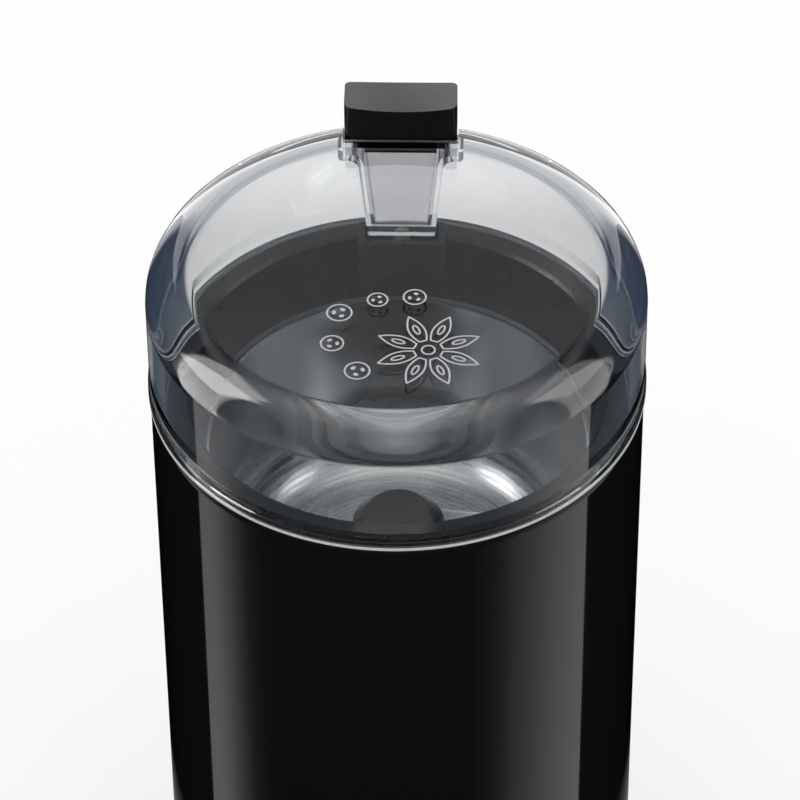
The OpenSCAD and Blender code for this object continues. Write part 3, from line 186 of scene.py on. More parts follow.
# ---- motor: brackets, stator and armature ----
# The upper bracket is die cast, the stacks are punched electrical steel, the coils and the
# winding are enamelled copper wire, and the bushes are sintered bronze that holds oil.

cast = bright_metal("die_cast_alloy", "#a9abae", 0.45, 0.5, 0.015, ("#9d9fa3", "#b4b6b8"))
dress(cast, "upper_bracket")
bronze = bright_metal("sintered_bronze", "#b78f52", 0.5, 0.3, 0.01, ("#a27c45", "#c79f60"))
dress(bronze, "upper_bush", "lower_bush")
brass = bright_metal("stamped_brass", "#cfae6a", 0.28, 2.5, 0.004, ("#c6a35e", "#d8b978"))
dress(brass, "brush_holders", "switch_terminals", "shaft_washers")
carbon = moulded("pressed_carbon", "#3c3c3e", 0.6, 0.2, 0.02, ("#333335", "#474749"))
dress(carbon, "carbon_brushes")
ground_steel = bright_metal("ground_shaft_steel", "#c4c6c9", 0.16, 0.6, 0.002)
dress(ground_steel, "motor_shaft")


def banded(name, colour, roughness, direction, pitch, depth, tint, metallic=1.0, **wave_options):
    """Layers or turns of a pitch in millimetres, stacked along a direction."""
    material, tree, shader, place = new_material(name, colour, roughness, Metallic=metallic)
    wave = add_node(tree, "TexWave", {"Vector": place, "Scale": pi / 10 / (pitch * MM),
                                      "Distortion": 0.6, "Detail": 1.0,
                                      "Detail Scale": 0.3},
                    bands_direction=direction, **wave_options)
    bump = add_node(tree, "Bump", {"Height": wave.outputs["Fac"], "Distance": depth * MM})
    tree.links.new(bump.outputs[0], shader.inputs["Normal"])
    ramp = add_node(tree, "ValToRGB", {"Fac": wave.outputs["Fac"]})
    ramp.color_ramp.elements[0].color = linear(tint[0])
    ramp.color_ramp.elements[1].color = linear(tint[1])
    tree.links.new(ramp.outputs[0], shader.inputs["Base Color"])
    return material


# Sheets of 0.5 mm are drawn as 0.8 mm, which still shows in the render
laminations = banded("punched_electrical_steel", "#7c8085", 0.4, "Z", 0.8, 0.06,
                     ("#585b60", "#8d9196"))
dress(laminations, "stator_core", "armature_core")
wound = banded("enamelled_copper_wire", "#b5652b", 0.3, "DIAGONAL", 0.7, 0.12,
               ("#8a4519", "#c87a3d"))
dress(wound, "field_coils", "armature_winding")
copper_bars = bright_metal("turned_copper", "#c98a63", 0.25, 1.0, 0.004, ("#bd7c55", "#d49a75"))
dress(copper_bars, "commutator")
spring_steel = bright_metal("drawn_spring_wire", "#b0b3b7", 0.3, 0.8, 0.004)
dress(spring_steel, "brush_springs")


# ---- housing ----
# One deep ABS moulding from a polished tool: piano black, so that it mirrors what stands
# round it, with the faint waviness that all moulded gloss has. Its top edge is rounded.

gloss_black, tree, shader, place = new_material("piano_black_abs", "#121011", 0.045, IOR=1.5)
grain(tree, shader, place, 14.0, 0.004, (0.03, 0.06))


def clear_selection():
    """Back to object mode with nothing selected."""
    if bpy.context.mode != "OBJECT":
        bpy.ops.object.mode_set(mode="OBJECT")
    bpy.ops.object.select_all(action="DESELECT")


def select_only(piece):
    """Selects one piece and makes it active."""
    clear_selection()
    piece.select_set(True)
    bpy.context.view_layer.objects.active = piece


def soft_corners(outline, arc=8):
    """Rounds the corners of an outline whose points are (across, up, corner radius) in mm."""
    points = []
    for before, corner, after in zip(outline[-1:] + outline[:-1], outline,
                                     outline[1:] + outline[:1]):
        here = Vector(corner[:2])
        radius = corner[2] if len(corner) > 2 else 0
        if not radius:
            points.append(here)
            continue
        u = (Vector(before[:2]) - here).normalized()
        v = (Vector(after[:2]) - here).normalized()
        half = u.angle(v) / 2
        turn = pi - 2 * half
        centre = here + (u + v).normalized() * radius / sin(half)
        start = here + u * radius / tan(half) - centre
        end = here + v * radius / tan(half) - centre
        for k in range(arc + 1):
            share = turn * k / arc
            points.append(centre + (start * sin(turn - share) + end * sin(share)) / sin(turn))
    return points


def draw_outline(name, points, closed, plane="xz"):
    """Draws an outline as a chain of edges, extruded from point to point, in edit mode."""
    def spot(p):
        return Vector((p[0], 0, p[1]) if plane == "xz" else (p[0], p[1], 0)) * MM

    clear_selection()
    bpy.ops.mesh.primitive_plane_add(size=MM)
    piece = bpy.context.object
    piece.name = piece.data.name = name
    bpy.ops.object.mode_set(mode="EDIT")
    bpy.ops.mesh.merge(type="CENTER")
    bpy.ops.transform.translate(value=spot(points[0]))
    for a, b in zip(points, points[1:]):
        bpy.ops.mesh.extrude_region_move(TRANSFORM_OT_translate={"value": spot(b) - spot(a)})
    bpy.ops.mesh.select_all(action="SELECT")
    if closed:
        bpy.ops.mesh.edge_face_add()
    return piece


def finish_mesh(piece, smooth_angle=35):
    """Merges doubles, points the faces outwards and shades what is round smoothly."""
    if bpy.context.mode != "EDIT_MESH":
        bpy.ops.object.mode_set(mode="EDIT")
    bpy.ops.mesh.select_all(action="SELECT")
    bpy.ops.mesh.remove_doubles(threshold=0.001 * MM)
    bpy.ops.mesh.normals_make_consistent(inside=False)
    bpy.ops.object.mode_set(mode="OBJECT")
    bpy.ops.object.shade_smooth_by_angle(angle=radians(smooth_angle))
    return piece


def turned(name, outline, steps):
    """Turns an outline in radius and height round the shaft's axis."""
    points = soft_corners(outline)
    on_axis = points[0][0] == 0 and points[-1][0] == 0
    piece = draw_outline(name, points, closed=False)
    if not on_axis:
        bpy.ops.mesh.select_all(action="DESELECT")
        bpy.ops.object.mode_set(mode="OBJECT")
        piece.data.vertices[0].select = True
        piece.data.vertices[len(points) - 1].select = True
        bpy.ops.object.mode_set(mode="EDIT")
        bpy.ops.mesh.edge_face_add()
        bpy.ops.mesh.select_all(action="SELECT")
    bpy.ops.mesh.spin(steps=steps, angle=2 * pi, center=(0, 0, 0), axis=(0, 0, 1))
    return finish_mesh(piece)


def slab(name, outline, low, high, plane="xz"):
    """Extrudes a closed outline from low to high, across its plane, in mm."""
    piece = draw_outline(name, soft_corners(outline), closed=True, plane=plane)
    across = Vector((0, 1, 0) if plane == "xz" else (0, 0, 1)) * MM
    bpy.ops.transform.translate(value=across * low)
    bpy.ops.mesh.extrude_region_move(TRANSFORM_OT_translate={"value": across * (high - low)})
    return finish_mesh(piece)


def apply_modifier(piece, kind, **settings):
    """Adds a modifier and applies it."""
    select_only(piece)
    modifier = piece.modifiers.new(kind.title(), kind)
    for key, value in settings.items():
        setattr(modifier, key, value)
    bpy.ops.object.modifier_apply(modifier=modifier.name)


def soften(piece, width, segments=3, angle=40):
    """Rounds a piece's edges by a width in mm."""
    apply_modifier(piece, "BEVEL", width=width * MM, segments=segments,
                   angle_limit=radians(angle), harden_normals=False)
    select_only(piece)
    bpy.ops.object.shade_smooth_by_angle(angle=radians(35))


def combine(piece, other, how):
    """Joins another solid to a piece, or cuts it away, and removes the other."""
    apply_modifier(piece, "BOOLEAN", object=other, operation=how, solver="EXACT",
                   material_mode="TRANSFER")
    bpy.data.objects.remove(other)


def even_shading(piece):
    """Keeps flat faces flat where they meet rounded edges."""
    apply_modifier(piece, "WEIGHTED_NORMAL", keep_sharp=True, weight=80)


def place_piece(piece, material, body, *nodes, slot_name):
    """Gives a new piece its material and its body, and hides the CAD nodes it stands for."""
    if material:
        piece.data.materials.clear()
        piece.data.materials.append(material)
    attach(piece, body)
    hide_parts(*nodes)


housing_low, housing_high = (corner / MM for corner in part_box("housing"))
edge_r = 1.5
# The drum takes a thin skin off the solid's wall. Cutters reach past what they cut
skin, clear = 0.04, 0.02
past = 5
wall_r, rim = housing_high.x - skin, housing_high.z + clear
neck_r = wall_r - edge_r - 1
# A copy of the solid, with its ledge, posts and bosses, is cut to a drum with the rounded edge
housing = turned("housing", [
    (0, housing_low.z - past), (wall_r, housing_low.z - past), (wall_r, rim, edge_r),
    (neck_r, rim), (neck_r, rim + past), (0, rim + past)], steps=256)
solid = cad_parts["housing"].copy()
solid.data = solid.data.copy()
bpy.context.collection.objects.link(solid)
select_only(solid)
finish_mesh(solid)
combine(housing, solid, "INTERSECT")
finish_mesh(housing)
even_shading(housing)
place_piece(housing, gloss_black, "body", "housing", slot_name="gloss_black_abs")


# ---- bowl ----
# Stainless steel, deep drawn and then turned to a satin finish, so that fine rings run
# round it. The gasket on its flange is grey silicone.

drawn_steel, tree, shader, place = new_material("satin_turned_stainless", "#d2d3d4", 0.26,
                                                Metallic=1.0)
# Rings of 0.2 mm are drawn 1 mm apart, which still shows in the render
rings = add_node(tree, "TexWave", {"Vector": place, "Scale": pi / 10 / (1.0 * MM),
                                   "Distortion": 0.8, "Detail": 1.0},
                 wave_type="RINGS", rings_direction="Z")
bump = add_node(tree, "Bump", {"Height": rings.outputs["Fac"], "Distance": 0.002 * MM})
tree.links.new(bump.outputs[0], shader.inputs["Normal"])
spread = add_node(tree, "MapRange", {"Value": rings.outputs["Fac"], "To Min": 0.2,
                                     "To Max": 0.32})
tree.links.new(spread.outputs[0], shader.inputs["Roughness"])
dress(drawn_steel, "bowl")
silicone = moulded("grey_silicone", "#7f8285", 0.6, 1.0, 0.01)
dress(silicone, "bowl_gasket")


# ---- collar ----
# The black ring that leads into the bowl and holds the lid: ABS, moulded with a satin skin,
# and screwed to the housing.

satin_abs = moulded("satin_black_abs", "#101012", 0.3, 9.0, 0.002)
dress(satin_abs, "collar")


# ---- blade, hub and nut ----
# The hub and the nut are black moulded plastic. The blade is stainless sheet with ground
# edges, its two wings pitched opposite ways, and the nut clamps it on the shaft.

dress(satin_abs, "blade_hub")
# The grinding lines run along the wings, and stretch the highlights
blade_steel, tree, shader, place = new_material("ground_stainless", "#d8d9da", 0.2,
                                                Metallic=1.0)
grain(tree, shader, add_node(tree, "Mapping", {"Vector": place,
                                               "Scale": (1, 12, 1)}).outputs[0],
      1.2, 0.003, (0.14, 0.28))
nut_low, nut_high = (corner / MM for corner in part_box("blade_nut"))
hub_r = (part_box("blade_hub")[1] / MM).x
blade_tip = 30.0
blade_root, blade_end = 13.0, 8.0
blade_thick = 1.6
ground_edge = 1.3
bore_r = 3.0
# The wings start inside the bore, so that no two of their faces meet
wing_start = 1.0
blade_foot = nut_low.z - blade_thick
pitch = radians(14)
nut_r = 8.5
nut_gap, hub_gap = 0.3, 0.05


def blade_wing(side):
    """One pitched wing, its leading edge ground to a bevel. It is turned half round for side 1."""
    wing = slab("wing", [
        (wing_start, -blade_root / 2), (blade_tip - blade_end / 3, -blade_end / 2, 1.5),
        (blade_tip, -blade_end / 6, 0.8), (blade_tip, blade_end / 2, 1.0),
        (wing_start, blade_root / 2)], blade_foot, blade_foot + blade_thick, "xy")
    bpy.ops.object.mode_set(mode="EDIT")
    bpy.ops.mesh.select_mode(type="EDGE")
    bpy.ops.mesh.select_all(action="DESELECT")
    bpy.ops.object.mode_set(mode="OBJECT")
    for edge in wing.data.edges:
        ends = [wing.data.vertices[k].co for k in edge.vertices]
        edge.select = (all(end.z > (blade_foot + blade_thick / 2) * MM and end.y < 0
                           for end in ends) and (ends[0] - ends[1]).length > blade_tip / 3 * MM)
    bpy.ops.object.mode_set(mode="EDIT")
    bpy.ops.mesh.bevel(offset=ground_edge * MM, segments=1)
    bpy.ops.mesh.select_mode(type="VERT")
    bpy.ops.mesh.select_all(action="SELECT")
    bpy.ops.transform.rotate(value=-pitch, orient_axis="X",
                             center_override=(0, 0, (blade_foot + blade_thick / 2) * MM))
    if side:
        bpy.ops.transform.rotate(value=pi, orient_axis="Z", center_override=(0, 0, 0))
    return finish_mesh(wing)


def disc(name, radius, foot, top, steps=96):
    """A plain disc on the shaft's axis, to join to a piece or to cut it with."""
    return turned(name, [(0, foot), (radius, foot), (radius, top), (0, top)], steps=steps)


blade = disc("blade", blade_root / 2 + 1, blade_foot, nut_low.z)
combine(blade, blade_wing(0), "UNION")
combine(blade, blade_wing(1), "UNION")
combine(blade, disc("bore", bore_r, blade_foot - past, nut_low.z + past), "DIFFERENCE")
combine(blade, disc("seat", nut_r + nut_gap, nut_low.z, nut_low.z + past), "DIFFERENCE")
combine(blade, disc("seat", hub_r + hub_gap, blade_foot - past, blade_foot), "DIFFERENCE")
soften(blade, 0.12, segments=2, angle=20)
place_piece(blade, blade_steel, "rotor", "blade", slot_name="blade_stainless")

nut_slope = 3.0
nut_skirt = 1
flutes, flute_r, flute_out = 8, 1.6, 0.8
bore_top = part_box("motor_shaft")[1].z / MM + 0.1
nut = turned("blade_nut", [
    (0, bore_top), (bore_r, bore_top), (bore_r, nut_low.z), (nut_r, nut_low.z, 0.3),
    (nut_r, nut_high.z - nut_slope, 0.8), (nut_r - nut_slope, nut_high.z, 1.2), (0, nut_high.z)],
    steps=96)
for k in range(flutes):
    turn = 2 * pi / flutes * k
    flute_x, flute_y = (nut_r + flute_out) * cos(turn), (nut_r + flute_out) * sin(turn)
    flute = slab("flute", [(flute_x + flute_r * cos(a), flute_y + flute_r * sin(a))
                           for a in (2 * pi * j / 32 for j in range(32))],
                 nut_low.z + nut_skirt, nut_high.z + past, "xy")
    combine(nut, flute, "DIFFERENCE")
soften(nut, 0.25, segments=3)
place_piece(nut, satin_abs, "rotor", "blade_nut", slot_name="satin_black_abs")


# ---- switch rod spring ----
# Hard drawn spring wire, wound in seven turns. It lifts the switch rod.

spring_low, spring_high = (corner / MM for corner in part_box("rod_spring"))
wire = 0.5
turns = 7
spring_length = spring_high.z - spring_low.z
spring_y = (spring_low.y + spring_high.y) / 2
clear_selection()
bpy.ops.mesh.primitive_circle_add(vertices=16, radius=wire / 2 * MM)
rod_spring = bpy.context.object
rod_spring.name = rod_spring.data.name = "rod_spring"
bpy.ops.object.mode_set(mode="EDIT")
bpy.ops.transform.rotate(value=pi / 2, orient_axis="X", center_override=(0, 0, 0))
bpy.ops.transform.translate(value=Vector((spring_high.x - wire / 2, 0, wire / 2)) * MM)
bpy.ops.object.mode_set(mode="OBJECT")
apply_modifier(rod_spring, "SCREW", angle=2 * pi, iterations=turns, steps=32, render_steps=32,
               screw_offset=(spring_length - wire) / turns * MM, use_merge_vertices=False)
bpy.ops.object.mode_set(mode="EDIT")
bpy.ops.mesh.select_all(action="SELECT")
bpy.ops.mesh.fill_holes(sides=0)
bpy.ops.mesh.select_all(action="SELECT")
bpy.ops.transform.translate(value=Vector((0, spring_y, spring_low.z)) * MM)
finish_mesh(rod_spring)
place_piece(rod_spring, spring_steel, "body", "rod_spring", slot_name="spring_steel")
travel = 3.0
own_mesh(rod_spring)


# ---- lid ----
# One clear moulding in SAN plastic, 2.6 mm thick, with a bead round its foot. A guide for
# the push rod runs down inside its rear wall and flares out to the button's pocket.

clear_plastic, tree, shader, place = new_material(
    "clear_san", "#f6f7f7", 0.0, IOR=1.56, Transmission_Weight=1.0)
grain(tree, shader, place, 30.0, 0.004)

lid_low, lid_high = (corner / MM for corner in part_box("lid"))
button_low, button_high = (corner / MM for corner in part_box("push_button"))
rod_low, rod_high = (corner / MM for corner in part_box("push_rod"))
lid_wall = 2.6
bead_out = 0.3
bead_top = lid_low.z + 3.2
bead_step, bead_r = 1.3, 6.0
top_r, ceiling_r = 6.5, 6.0
foot_edge, foot_r = 0.9, 0.4
lid_r = lid_high.x - bead_out
lid_ri = lid_r - lid_wall
lid_ceiling = lid_high.z - lid_wall
lid = turned("lid", [
    (0, lid_high.z), (lid_r, lid_high.z, top_r), (lid_r, bead_top + bead_step, bead_r),
    (lid_high.x, bead_top - bead_step, bead_r), (lid_high.x, lid_low.z + foot_edge),
    (lid_high.x, lid_low.z, foot_r), (lid_ri, lid_low.z, foot_r),
    (lid_ri, lid_ceiling, ceiling_r), (0, lid_ceiling)], steps=256)
lid.data.materials.append(clear_plastic)
# The tool is spark eroded round the guide, which leaves its walls a little dull
guide_plastic, tree, shader, place = new_material(
    "spark_eroded_san", "#f0f0f1", 0.1, IOR=1.56, Transmission_Weight=1.0)
grain(tree, shader, place, 8.0, 0.006)

guide_wall = 0.9
guide_gap = 0.5
guide_front = rod_low.y - 0.8
guide_foot = rod_low.z + 3.8
rod_foot_half, rod_top_half = 4.6, 6.5
rod_taper = (rod_top_half - rod_foot_half) / (button_low.z - rod_low.z)
head_under = lid_high.z - 1.4
stem_half = 8.2
seat_gap = 0.3
pocket_floor = head_under - travel - seat_gap
pocket_half = button_high.x + 0.25
into_wall = 0.05


def rod_half(height, margin=0.0):
    """Half the tapered push rod's width at a height."""
    return rod_foot_half + rod_taper * (height - rod_low.z) + margin


def flare(foot, top, inner, outer, steps=12):
    """A flare that leaves a half width upright and reaches another one level, at its top."""
    angles = [pi / 2 * k / steps for k in range(steps + 1)]
    return [(outer - (outer - inner) * cos(a), foot + (top - foot) * sin(a)) for a in angles]


def channel_side(foot, wall=0.0):
    """The right side of the rod's channel up to the pocket's floor, or of the wall round it."""
    flare_foot = button_low.z - travel - seat_gap
    return [(rod_half(foot, guide_gap + wall), foot)] + flare(
        flare_foot, pocket_floor - wall, rod_half(flare_foot, guide_gap + wall),
        stem_half + seat_gap + wall)


def two_sided(side):
    """An outline from its right side and the mirror image of it."""
    return side + [(-point[0], *point[1:]) for point in reversed(side)]


pocket_turns = [pi / 2 * k / 6 for k in range(7)]
guide = slab("guide", two_sided(
    channel_side(guide_foot, guide_wall)
    + [(pocket_half + guide_wall * sin(a), pocket_floor - guide_wall * cos(a))
       for a in pocket_turns]
    + [(pocket_half + guide_wall, lid_ceiling + into_wall)]), guide_front - guide_wall, lid_r)
guide.data.materials.append(guide_plastic)
combine(guide, disc("drum", lid_ri + into_wall, lid_low.z, lid_high.z, steps=256), "INTERSECT")
combine(lid, guide, "UNION")
channel = slab("channel", two_sided(
    channel_side(guide_foot - 2) + [(stem_half + seat_gap, pocket_floor + 1)]),
    guide_front, lid_r)
channel.data.materials.append(guide_plastic)
combine(channel, disc("drum", lid_ri, lid_low.z, lid_high.z, steps=256), "INTERSECT")
combine(lid, channel, "DIFFERENCE")
opening = slab("opening", [(-pocket_half, pocket_floor), (pocket_half, pocket_floor),
                           (pocket_half, lid_high.z + past), (-pocket_half, lid_high.z + past)],
               guide_front, lid_r + past)
combine(lid, opening, "DIFFERENCE")

# The picture on the top is etched by laser: frosted grooves 0.3 mm wide that draw one star
# anise and a few peppercorns.
groove, groove_depth = 0.32, 0.08
# The etching's pale matt finish is also used below for a painted highlight along the lid's foot
frost_and_foot_highlight, tree, shader, place = new_material("laser_frosted_san", "#c6c8ca", 0.7)
grain(tree, shader, place, 0.25, 0.01, tint=("#b4b6b8", "#d2d4d6"))


def etch(points):
    """A closed band along an outline in x and y, or a dot where there is no room for one."""
    band = draw_outline("etching", points, closed=True, plane="xy")
    if (Vector(points[0]) - Vector(points[len(points) // 2])).length > 4 * groove:
        bpy.ops.mesh.inset(thickness=groove * MM, use_boundary=True)
        bpy.ops.mesh.delete(type="FACE")
    bpy.ops.mesh.select_all(action="SELECT")
    bpy.ops.transform.translate(value=(0, 0, (lid_high.z - groove_depth) * MM))
    bpy.ops.mesh.extrude_region_move(TRANSFORM_OT_translate={"value": (0, 0, MM)})
    return finish_mesh(band)


def oval(x, y, along, across, turn, steps=24):
    """An oval's outline round a spot, its length turned to an angle."""
    points = []
    for k in range(steps):
        a, b = along * cos(2 * pi * k / steps), across * sin(2 * pi * k / steps)
        points.append((x + a * cos(turn) - b * sin(turn), y + a * sin(turn) + b * cos(turn)))
    return points


def pod(x, y, turn, root=2.3, tip=9.5, half=1.55, steps=10):
    """One boat-shaped pod of the star anise, pointed at its tip."""
    side = [(root + (tip - root) * k / steps,
             half * sin(pi * (0.14 + 0.86 * k / steps)) ** 0.9) for k in range(steps)]
    outline = side + [(tip, 0)] + [(a, -b) for a, b in reversed(side)]
    return [(x + a * cos(turn) - b * sin(turn), y + a * sin(turn) + b * cos(turn))
            for a, b in outline]


star_x, star_y = 6.0, -22.0
eye_r = 1.3
pods = 8
seed_out, seed_along, seed_across = 5.6, 1.35, 0.62
outlines = [oval(star_x, star_y, eye_r, eye_r, 0)]
for k in range(pods):
    turn = pi / pods + 2 * pi / pods * k
    outlines.append(pod(star_x, star_y, turn))
    outlines.append(oval(star_x + seed_out * cos(turn), star_y + seed_out * sin(turn),
                         seed_along, seed_across, turn, 16))
# Each peppercorn is a ring with three dots, sized as shares of its radius
dots = 3
dot_out, dot_along, dot_across = 0.42, 0.22, 0.16
for x, y, radius in ((-9.5, -12.5, 2.3), (-3.0, -9.0, 1.9), (-10.5, -20.5, 2.1),
                     (-6.0, -27.5, 2.3), (3.4, -8.2, 2.1)):
    outlines.append(oval(x, y, radius, radius, 0))
    for k in range(dots):
        turn = x + 2 * pi / dots * k
        outlines.append(oval(
            x + dot_out * radius * cos(turn), y + dot_out * radius * sin(turn),
            dot_along * radius, dot_across * radius, turn + pi / 2, 10))
bands = [etch(outline) for outline in outlines]
clear_selection()
for band in bands:
    band.select_set(True)
bpy.context.view_layer.objects.active = bands[0]
bpy.ops.object.join()
etching = bpy.context.object
etching.data.materials.append(frost_and_foot_highlight)
combine(lid, etching, "DIFFERENCE")
# The outer edge of the foot gets the same pale matt finish: a painted highlight that draws the
# bright line along the lid's bottom edge
for face in lid.data.polygons:
    if (face.center.z < (lid_low.z + foot_edge) * MM
            and face.center.xy.length > (lid_high.x - foot_r) * MM):
        face.material_index = lid.data.materials.find(frost_and_foot_highlight.name)
select_only(lid)
finish_mesh(lid, smooth_angle=30)
even_shading(lid)
place_piece(lid, None, "lid", "lid", slot_name="clear_plastic")


# ---- push button and push rod ----
# The button is gloss black ABS: a head with a thumb dish, and a flared stem that runs in the
# guide. The rod is clear with a satin skin, pressed into the stem, with two catches below.

dish = 1.0
button_half = button_high.x
button_top = button_high.z
button_corner = 1.4
dish_r = (button_half ** 2 + dish ** 2) / (2 * dish)
dish_centre = button_top - dish + dish_r
dish_steps = 24
rear_half = (button_half - button_corner) * lid_r / (lid_r - button_corner)
rear_corner = sqrt((lid_r - button_corner) ** 2 - (button_half - button_corner) ** 2)
rear_start = rear_corner + button_corner * 0.9
rear_steps = 8
rear_across = [rear_half * (1 - k / rear_steps) for k in range(2 * rear_steps + 1)]
button = slab("push_button", [
    (-button_half, button_low.y, button_corner), (button_half, button_low.y, button_corner),
    (button_half, rear_start, button_corner)]
    + [(x, sqrt(lid_r ** 2 - x ** 2)) for x in rear_across]
    + [(-button_half, rear_start, button_corner)],
    head_under, button_top, "xy")
stem = slab("stem", two_sided(
    flare(button_low.z, head_under + into_wall, rod_top_half, stem_half)), button_low.y, lid_r)
combine(stem, disc("drum", lid_ri - guide_gap, button_low.z - 1, button_top, steps=256),
        "INTERSECT")
combine(button, stem, "UNION")
dished = [(button_half + past, button_top + past)]
for k in range(dish_steps + 1):
    x = button_half * (1 - 2 * k / dish_steps)
    dished.append((x, dish_centre - sqrt(dish_r ** 2 - x ** 2)))
dished.append((-button_half - past, button_top + past))
combine(button, slab("dish", dished, button_low.y - past, lid_r + past), "DIFFERENCE")
soften(button, 0.45, segments=4, angle=30)
even_shading(button)
# Piano black again, from a tool that is polished a little less
gloss_button, tree, shader, place = new_material("gloss_black_button", "#121213", 0.12, IOR=1.5)
grain(tree, shader, place, 6.0, 0.004, (0.1, 0.16))
place_piece(button, gloss_button, "button", "push_button", slot_name="gloss_black_button")

satin_plastic, tree, shader, place = new_material(
    "satin_clear_san", "#f4f3f4", 0.08, IOR=1.5, Transmission_Weight=1.0)
grain(tree, shader, place, 12.0, 0.01)
catch_half = rod_foot_half + 1.6
catch_top = rod_low.z + 3.6
peg_half = 5
rod = slab("push_rod", two_sided(
    [(catch_half, rod_low.z, 0.4), (catch_half, catch_top, 0.4), (rod_half(catch_top), catch_top),
     (rod_top_half, button_low.z), (peg_half, button_low.z), (peg_half, rod_high.z)]),
    rod_low.y, rod_high.y)
soften(rod, 0.2, segments=2)
place_piece(rod, satin_plastic, "button", "push_rod", slot_name="clear_plastic")


# ---- stage: floor, cards, world and camera ----
# A pale floor that keeps the grinder's shadow, two tall gradient cards that draw the two
# streaks on the gloss, and plain light from all round.

bright = 1.0


def spin_wall(name, radius, start, end, foot, top):
    """A curved upright card round the shaft's axis, between two azimuths from the front."""
    clear_selection()
    bpy.ops.mesh.primitive_plane_add(size=MM)
    card = bpy.context.object
    card.name = name
    bpy.ops.object.mode_set(mode="EDIT")
    bpy.ops.mesh.merge(type="CENTER")
    bpy.ops.transform.translate(value=(radius * sin(start) * MM, -radius * cos(start) * MM,
                                       foot * MM))
    bpy.ops.mesh.extrude_region_move(TRANSFORM_OT_translate={"value": (0, 0,
                                                                       (top - foot) * MM)})
    bpy.ops.mesh.select_all(action="SELECT")
    bpy.ops.mesh.spin(steps=48, angle=end - start, center=(0, 0, 0), axis=(0, 0, -1))
    bpy.ops.object.mode_set(mode="OBJECT")
    return card


def hide_from(card, *rays):
    """Hides a card from kinds of rays."""
    for ray in rays:
        setattr(card, "visible_" + ray, False)


def emission_material(name):
    """An emitter with Object coordinates."""
    material = bpy.data.materials.new(name)
    material.use_nodes = True
    tree = material.node_tree
    tree.nodes.clear()
    glow = add_node(tree, "Emission")
    add_node(tree, "OutputMaterial", {"Surface": glow.outputs[0]})
    return material, tree, glow


def gradient_card(name, side, stops, foot=-700, top=300, radius=500):
    """A card whose light follows (azimuth in degrees, level) stops, seen in reflections only."""
    first, last = stops[0][0], stops[-1][0]
    a, b = (first, last) if side > 0 else (-last, -first)
    card = spin_wall(name, radius, radians(a), radians(b), foot, top)
    material, tree, glow = emission_material(name)
    place = add_node(tree, "TexCoord").outputs["Object"]
    axes = add_node(tree, "SeparateXYZ", {"Vector": place})
    across = add_node(tree, "Math", {0: axes.outputs["X"], 1: side}, operation="MULTIPLY")
    front = add_node(tree, "Math", {0: axes.outputs["Y"], 1: -1.0}, operation="MULTIPLY")
    azimuth = add_node(tree, "Math", {0: across.outputs[0], 1: front.outputs[0]},
                       operation="ARCTAN2")
    share = add_node(tree, "MapRange", {"Value": azimuth.outputs[0],
                                        "From Min": radians(first), "From Max": radians(last)})
    ramp = add_node(tree, "ValToRGB", {"Fac": share.outputs[0]})
    for k, (angle, level) in enumerate(stops):
        position = (angle - first) / (last - first)
        elements = ramp.color_ramp.elements
        element = elements[k] if k < 2 else elements.new(position)
        element.position = position
        element.color = (level, level, level, 1)
    tree.links.new(ramp.outputs[0], glow.inputs["Color"])
    card.data.materials.append(material)
    hide_from(card, "camera", "diffuse", "transmission", "volume_scatter", "shadow")


gradient_card("left_card", -1, [(56, 0.0), (66, 0.03), (72, 0.1), (78, 0.28), (84.5, 0.52),
                                (91, 0.72), (96, 0.74), (102, 0.64)])
gradient_card("right_card", 1, [(34, 0.0), (45, 0.08), (50, 0.16), (55.4, 0.31), (66.6, 0.53),
                                (78.6, 0.757), (90, 0.82), (97.5, 0.78)])


def softbox(name, azimuth, rise, width, height, level, reach=600, fade=0.12):
    """A flat card with round corners that faces the lid, seen in reflections and through glass."""
    azimuth, rise = radians(azimuth), radians(rise)
    toward = Vector((sin(azimuth) * cos(rise), -cos(azimuth) * cos(rise), sin(rise)))
    clear_selection()
    bpy.ops.mesh.primitive_plane_add(size=1)
    card = bpy.context.object
    card.name = name
    card.scale = (width * MM, height * MM, 1)
    bpy.ops.object.transform_apply(location=False, rotation=False, scale=True)
    bpy.ops.object.mode_set(mode="EDIT")
    bpy.ops.mesh.bevel(offset=0.3 * min(width, height) * MM, segments=8, affect="VERTICES")
    bpy.ops.object.mode_set(mode="OBJECT")
    card.location = (shoulder + toward * reach) * MM
    card.rotation_euler = toward.to_track_quat("Z", "Y").to_euler()
    material, tree, glow = emission_material(name)
    spot = add_node(tree, "TexCoord").outputs["Object"]
    axes = add_node(tree, "SeparateXYZ", {"Vector": spot})
    shares = []
    for axis, size in (("X", width), ("Y", height)):
        off = add_node(tree, "Math", {0: axes.outputs[axis]}, operation="ABSOLUTE")
        shares.append(add_node(tree, "MapRange", {
            "Value": off.outputs[0], "From Min": size / 2 * MM,
            "From Max": size * (0.5 - fade) * MM}, interpolation_type="SMOOTHSTEP"))
    both = add_node(tree, "Math", {0: shares[0].outputs[0], 1: shares[1].outputs[0]},
                    operation="MULTIPLY")
    strength = add_node(tree, "Math", {0: both.outputs[0], 1: level}, operation="MULTIPLY")
    tree.links.new(strength.outputs[0], glow.inputs["Strength"])
    card.data.materials.append(material)
    hide_from(card, "camera", "diffuse", "volume_scatter", "shadow")


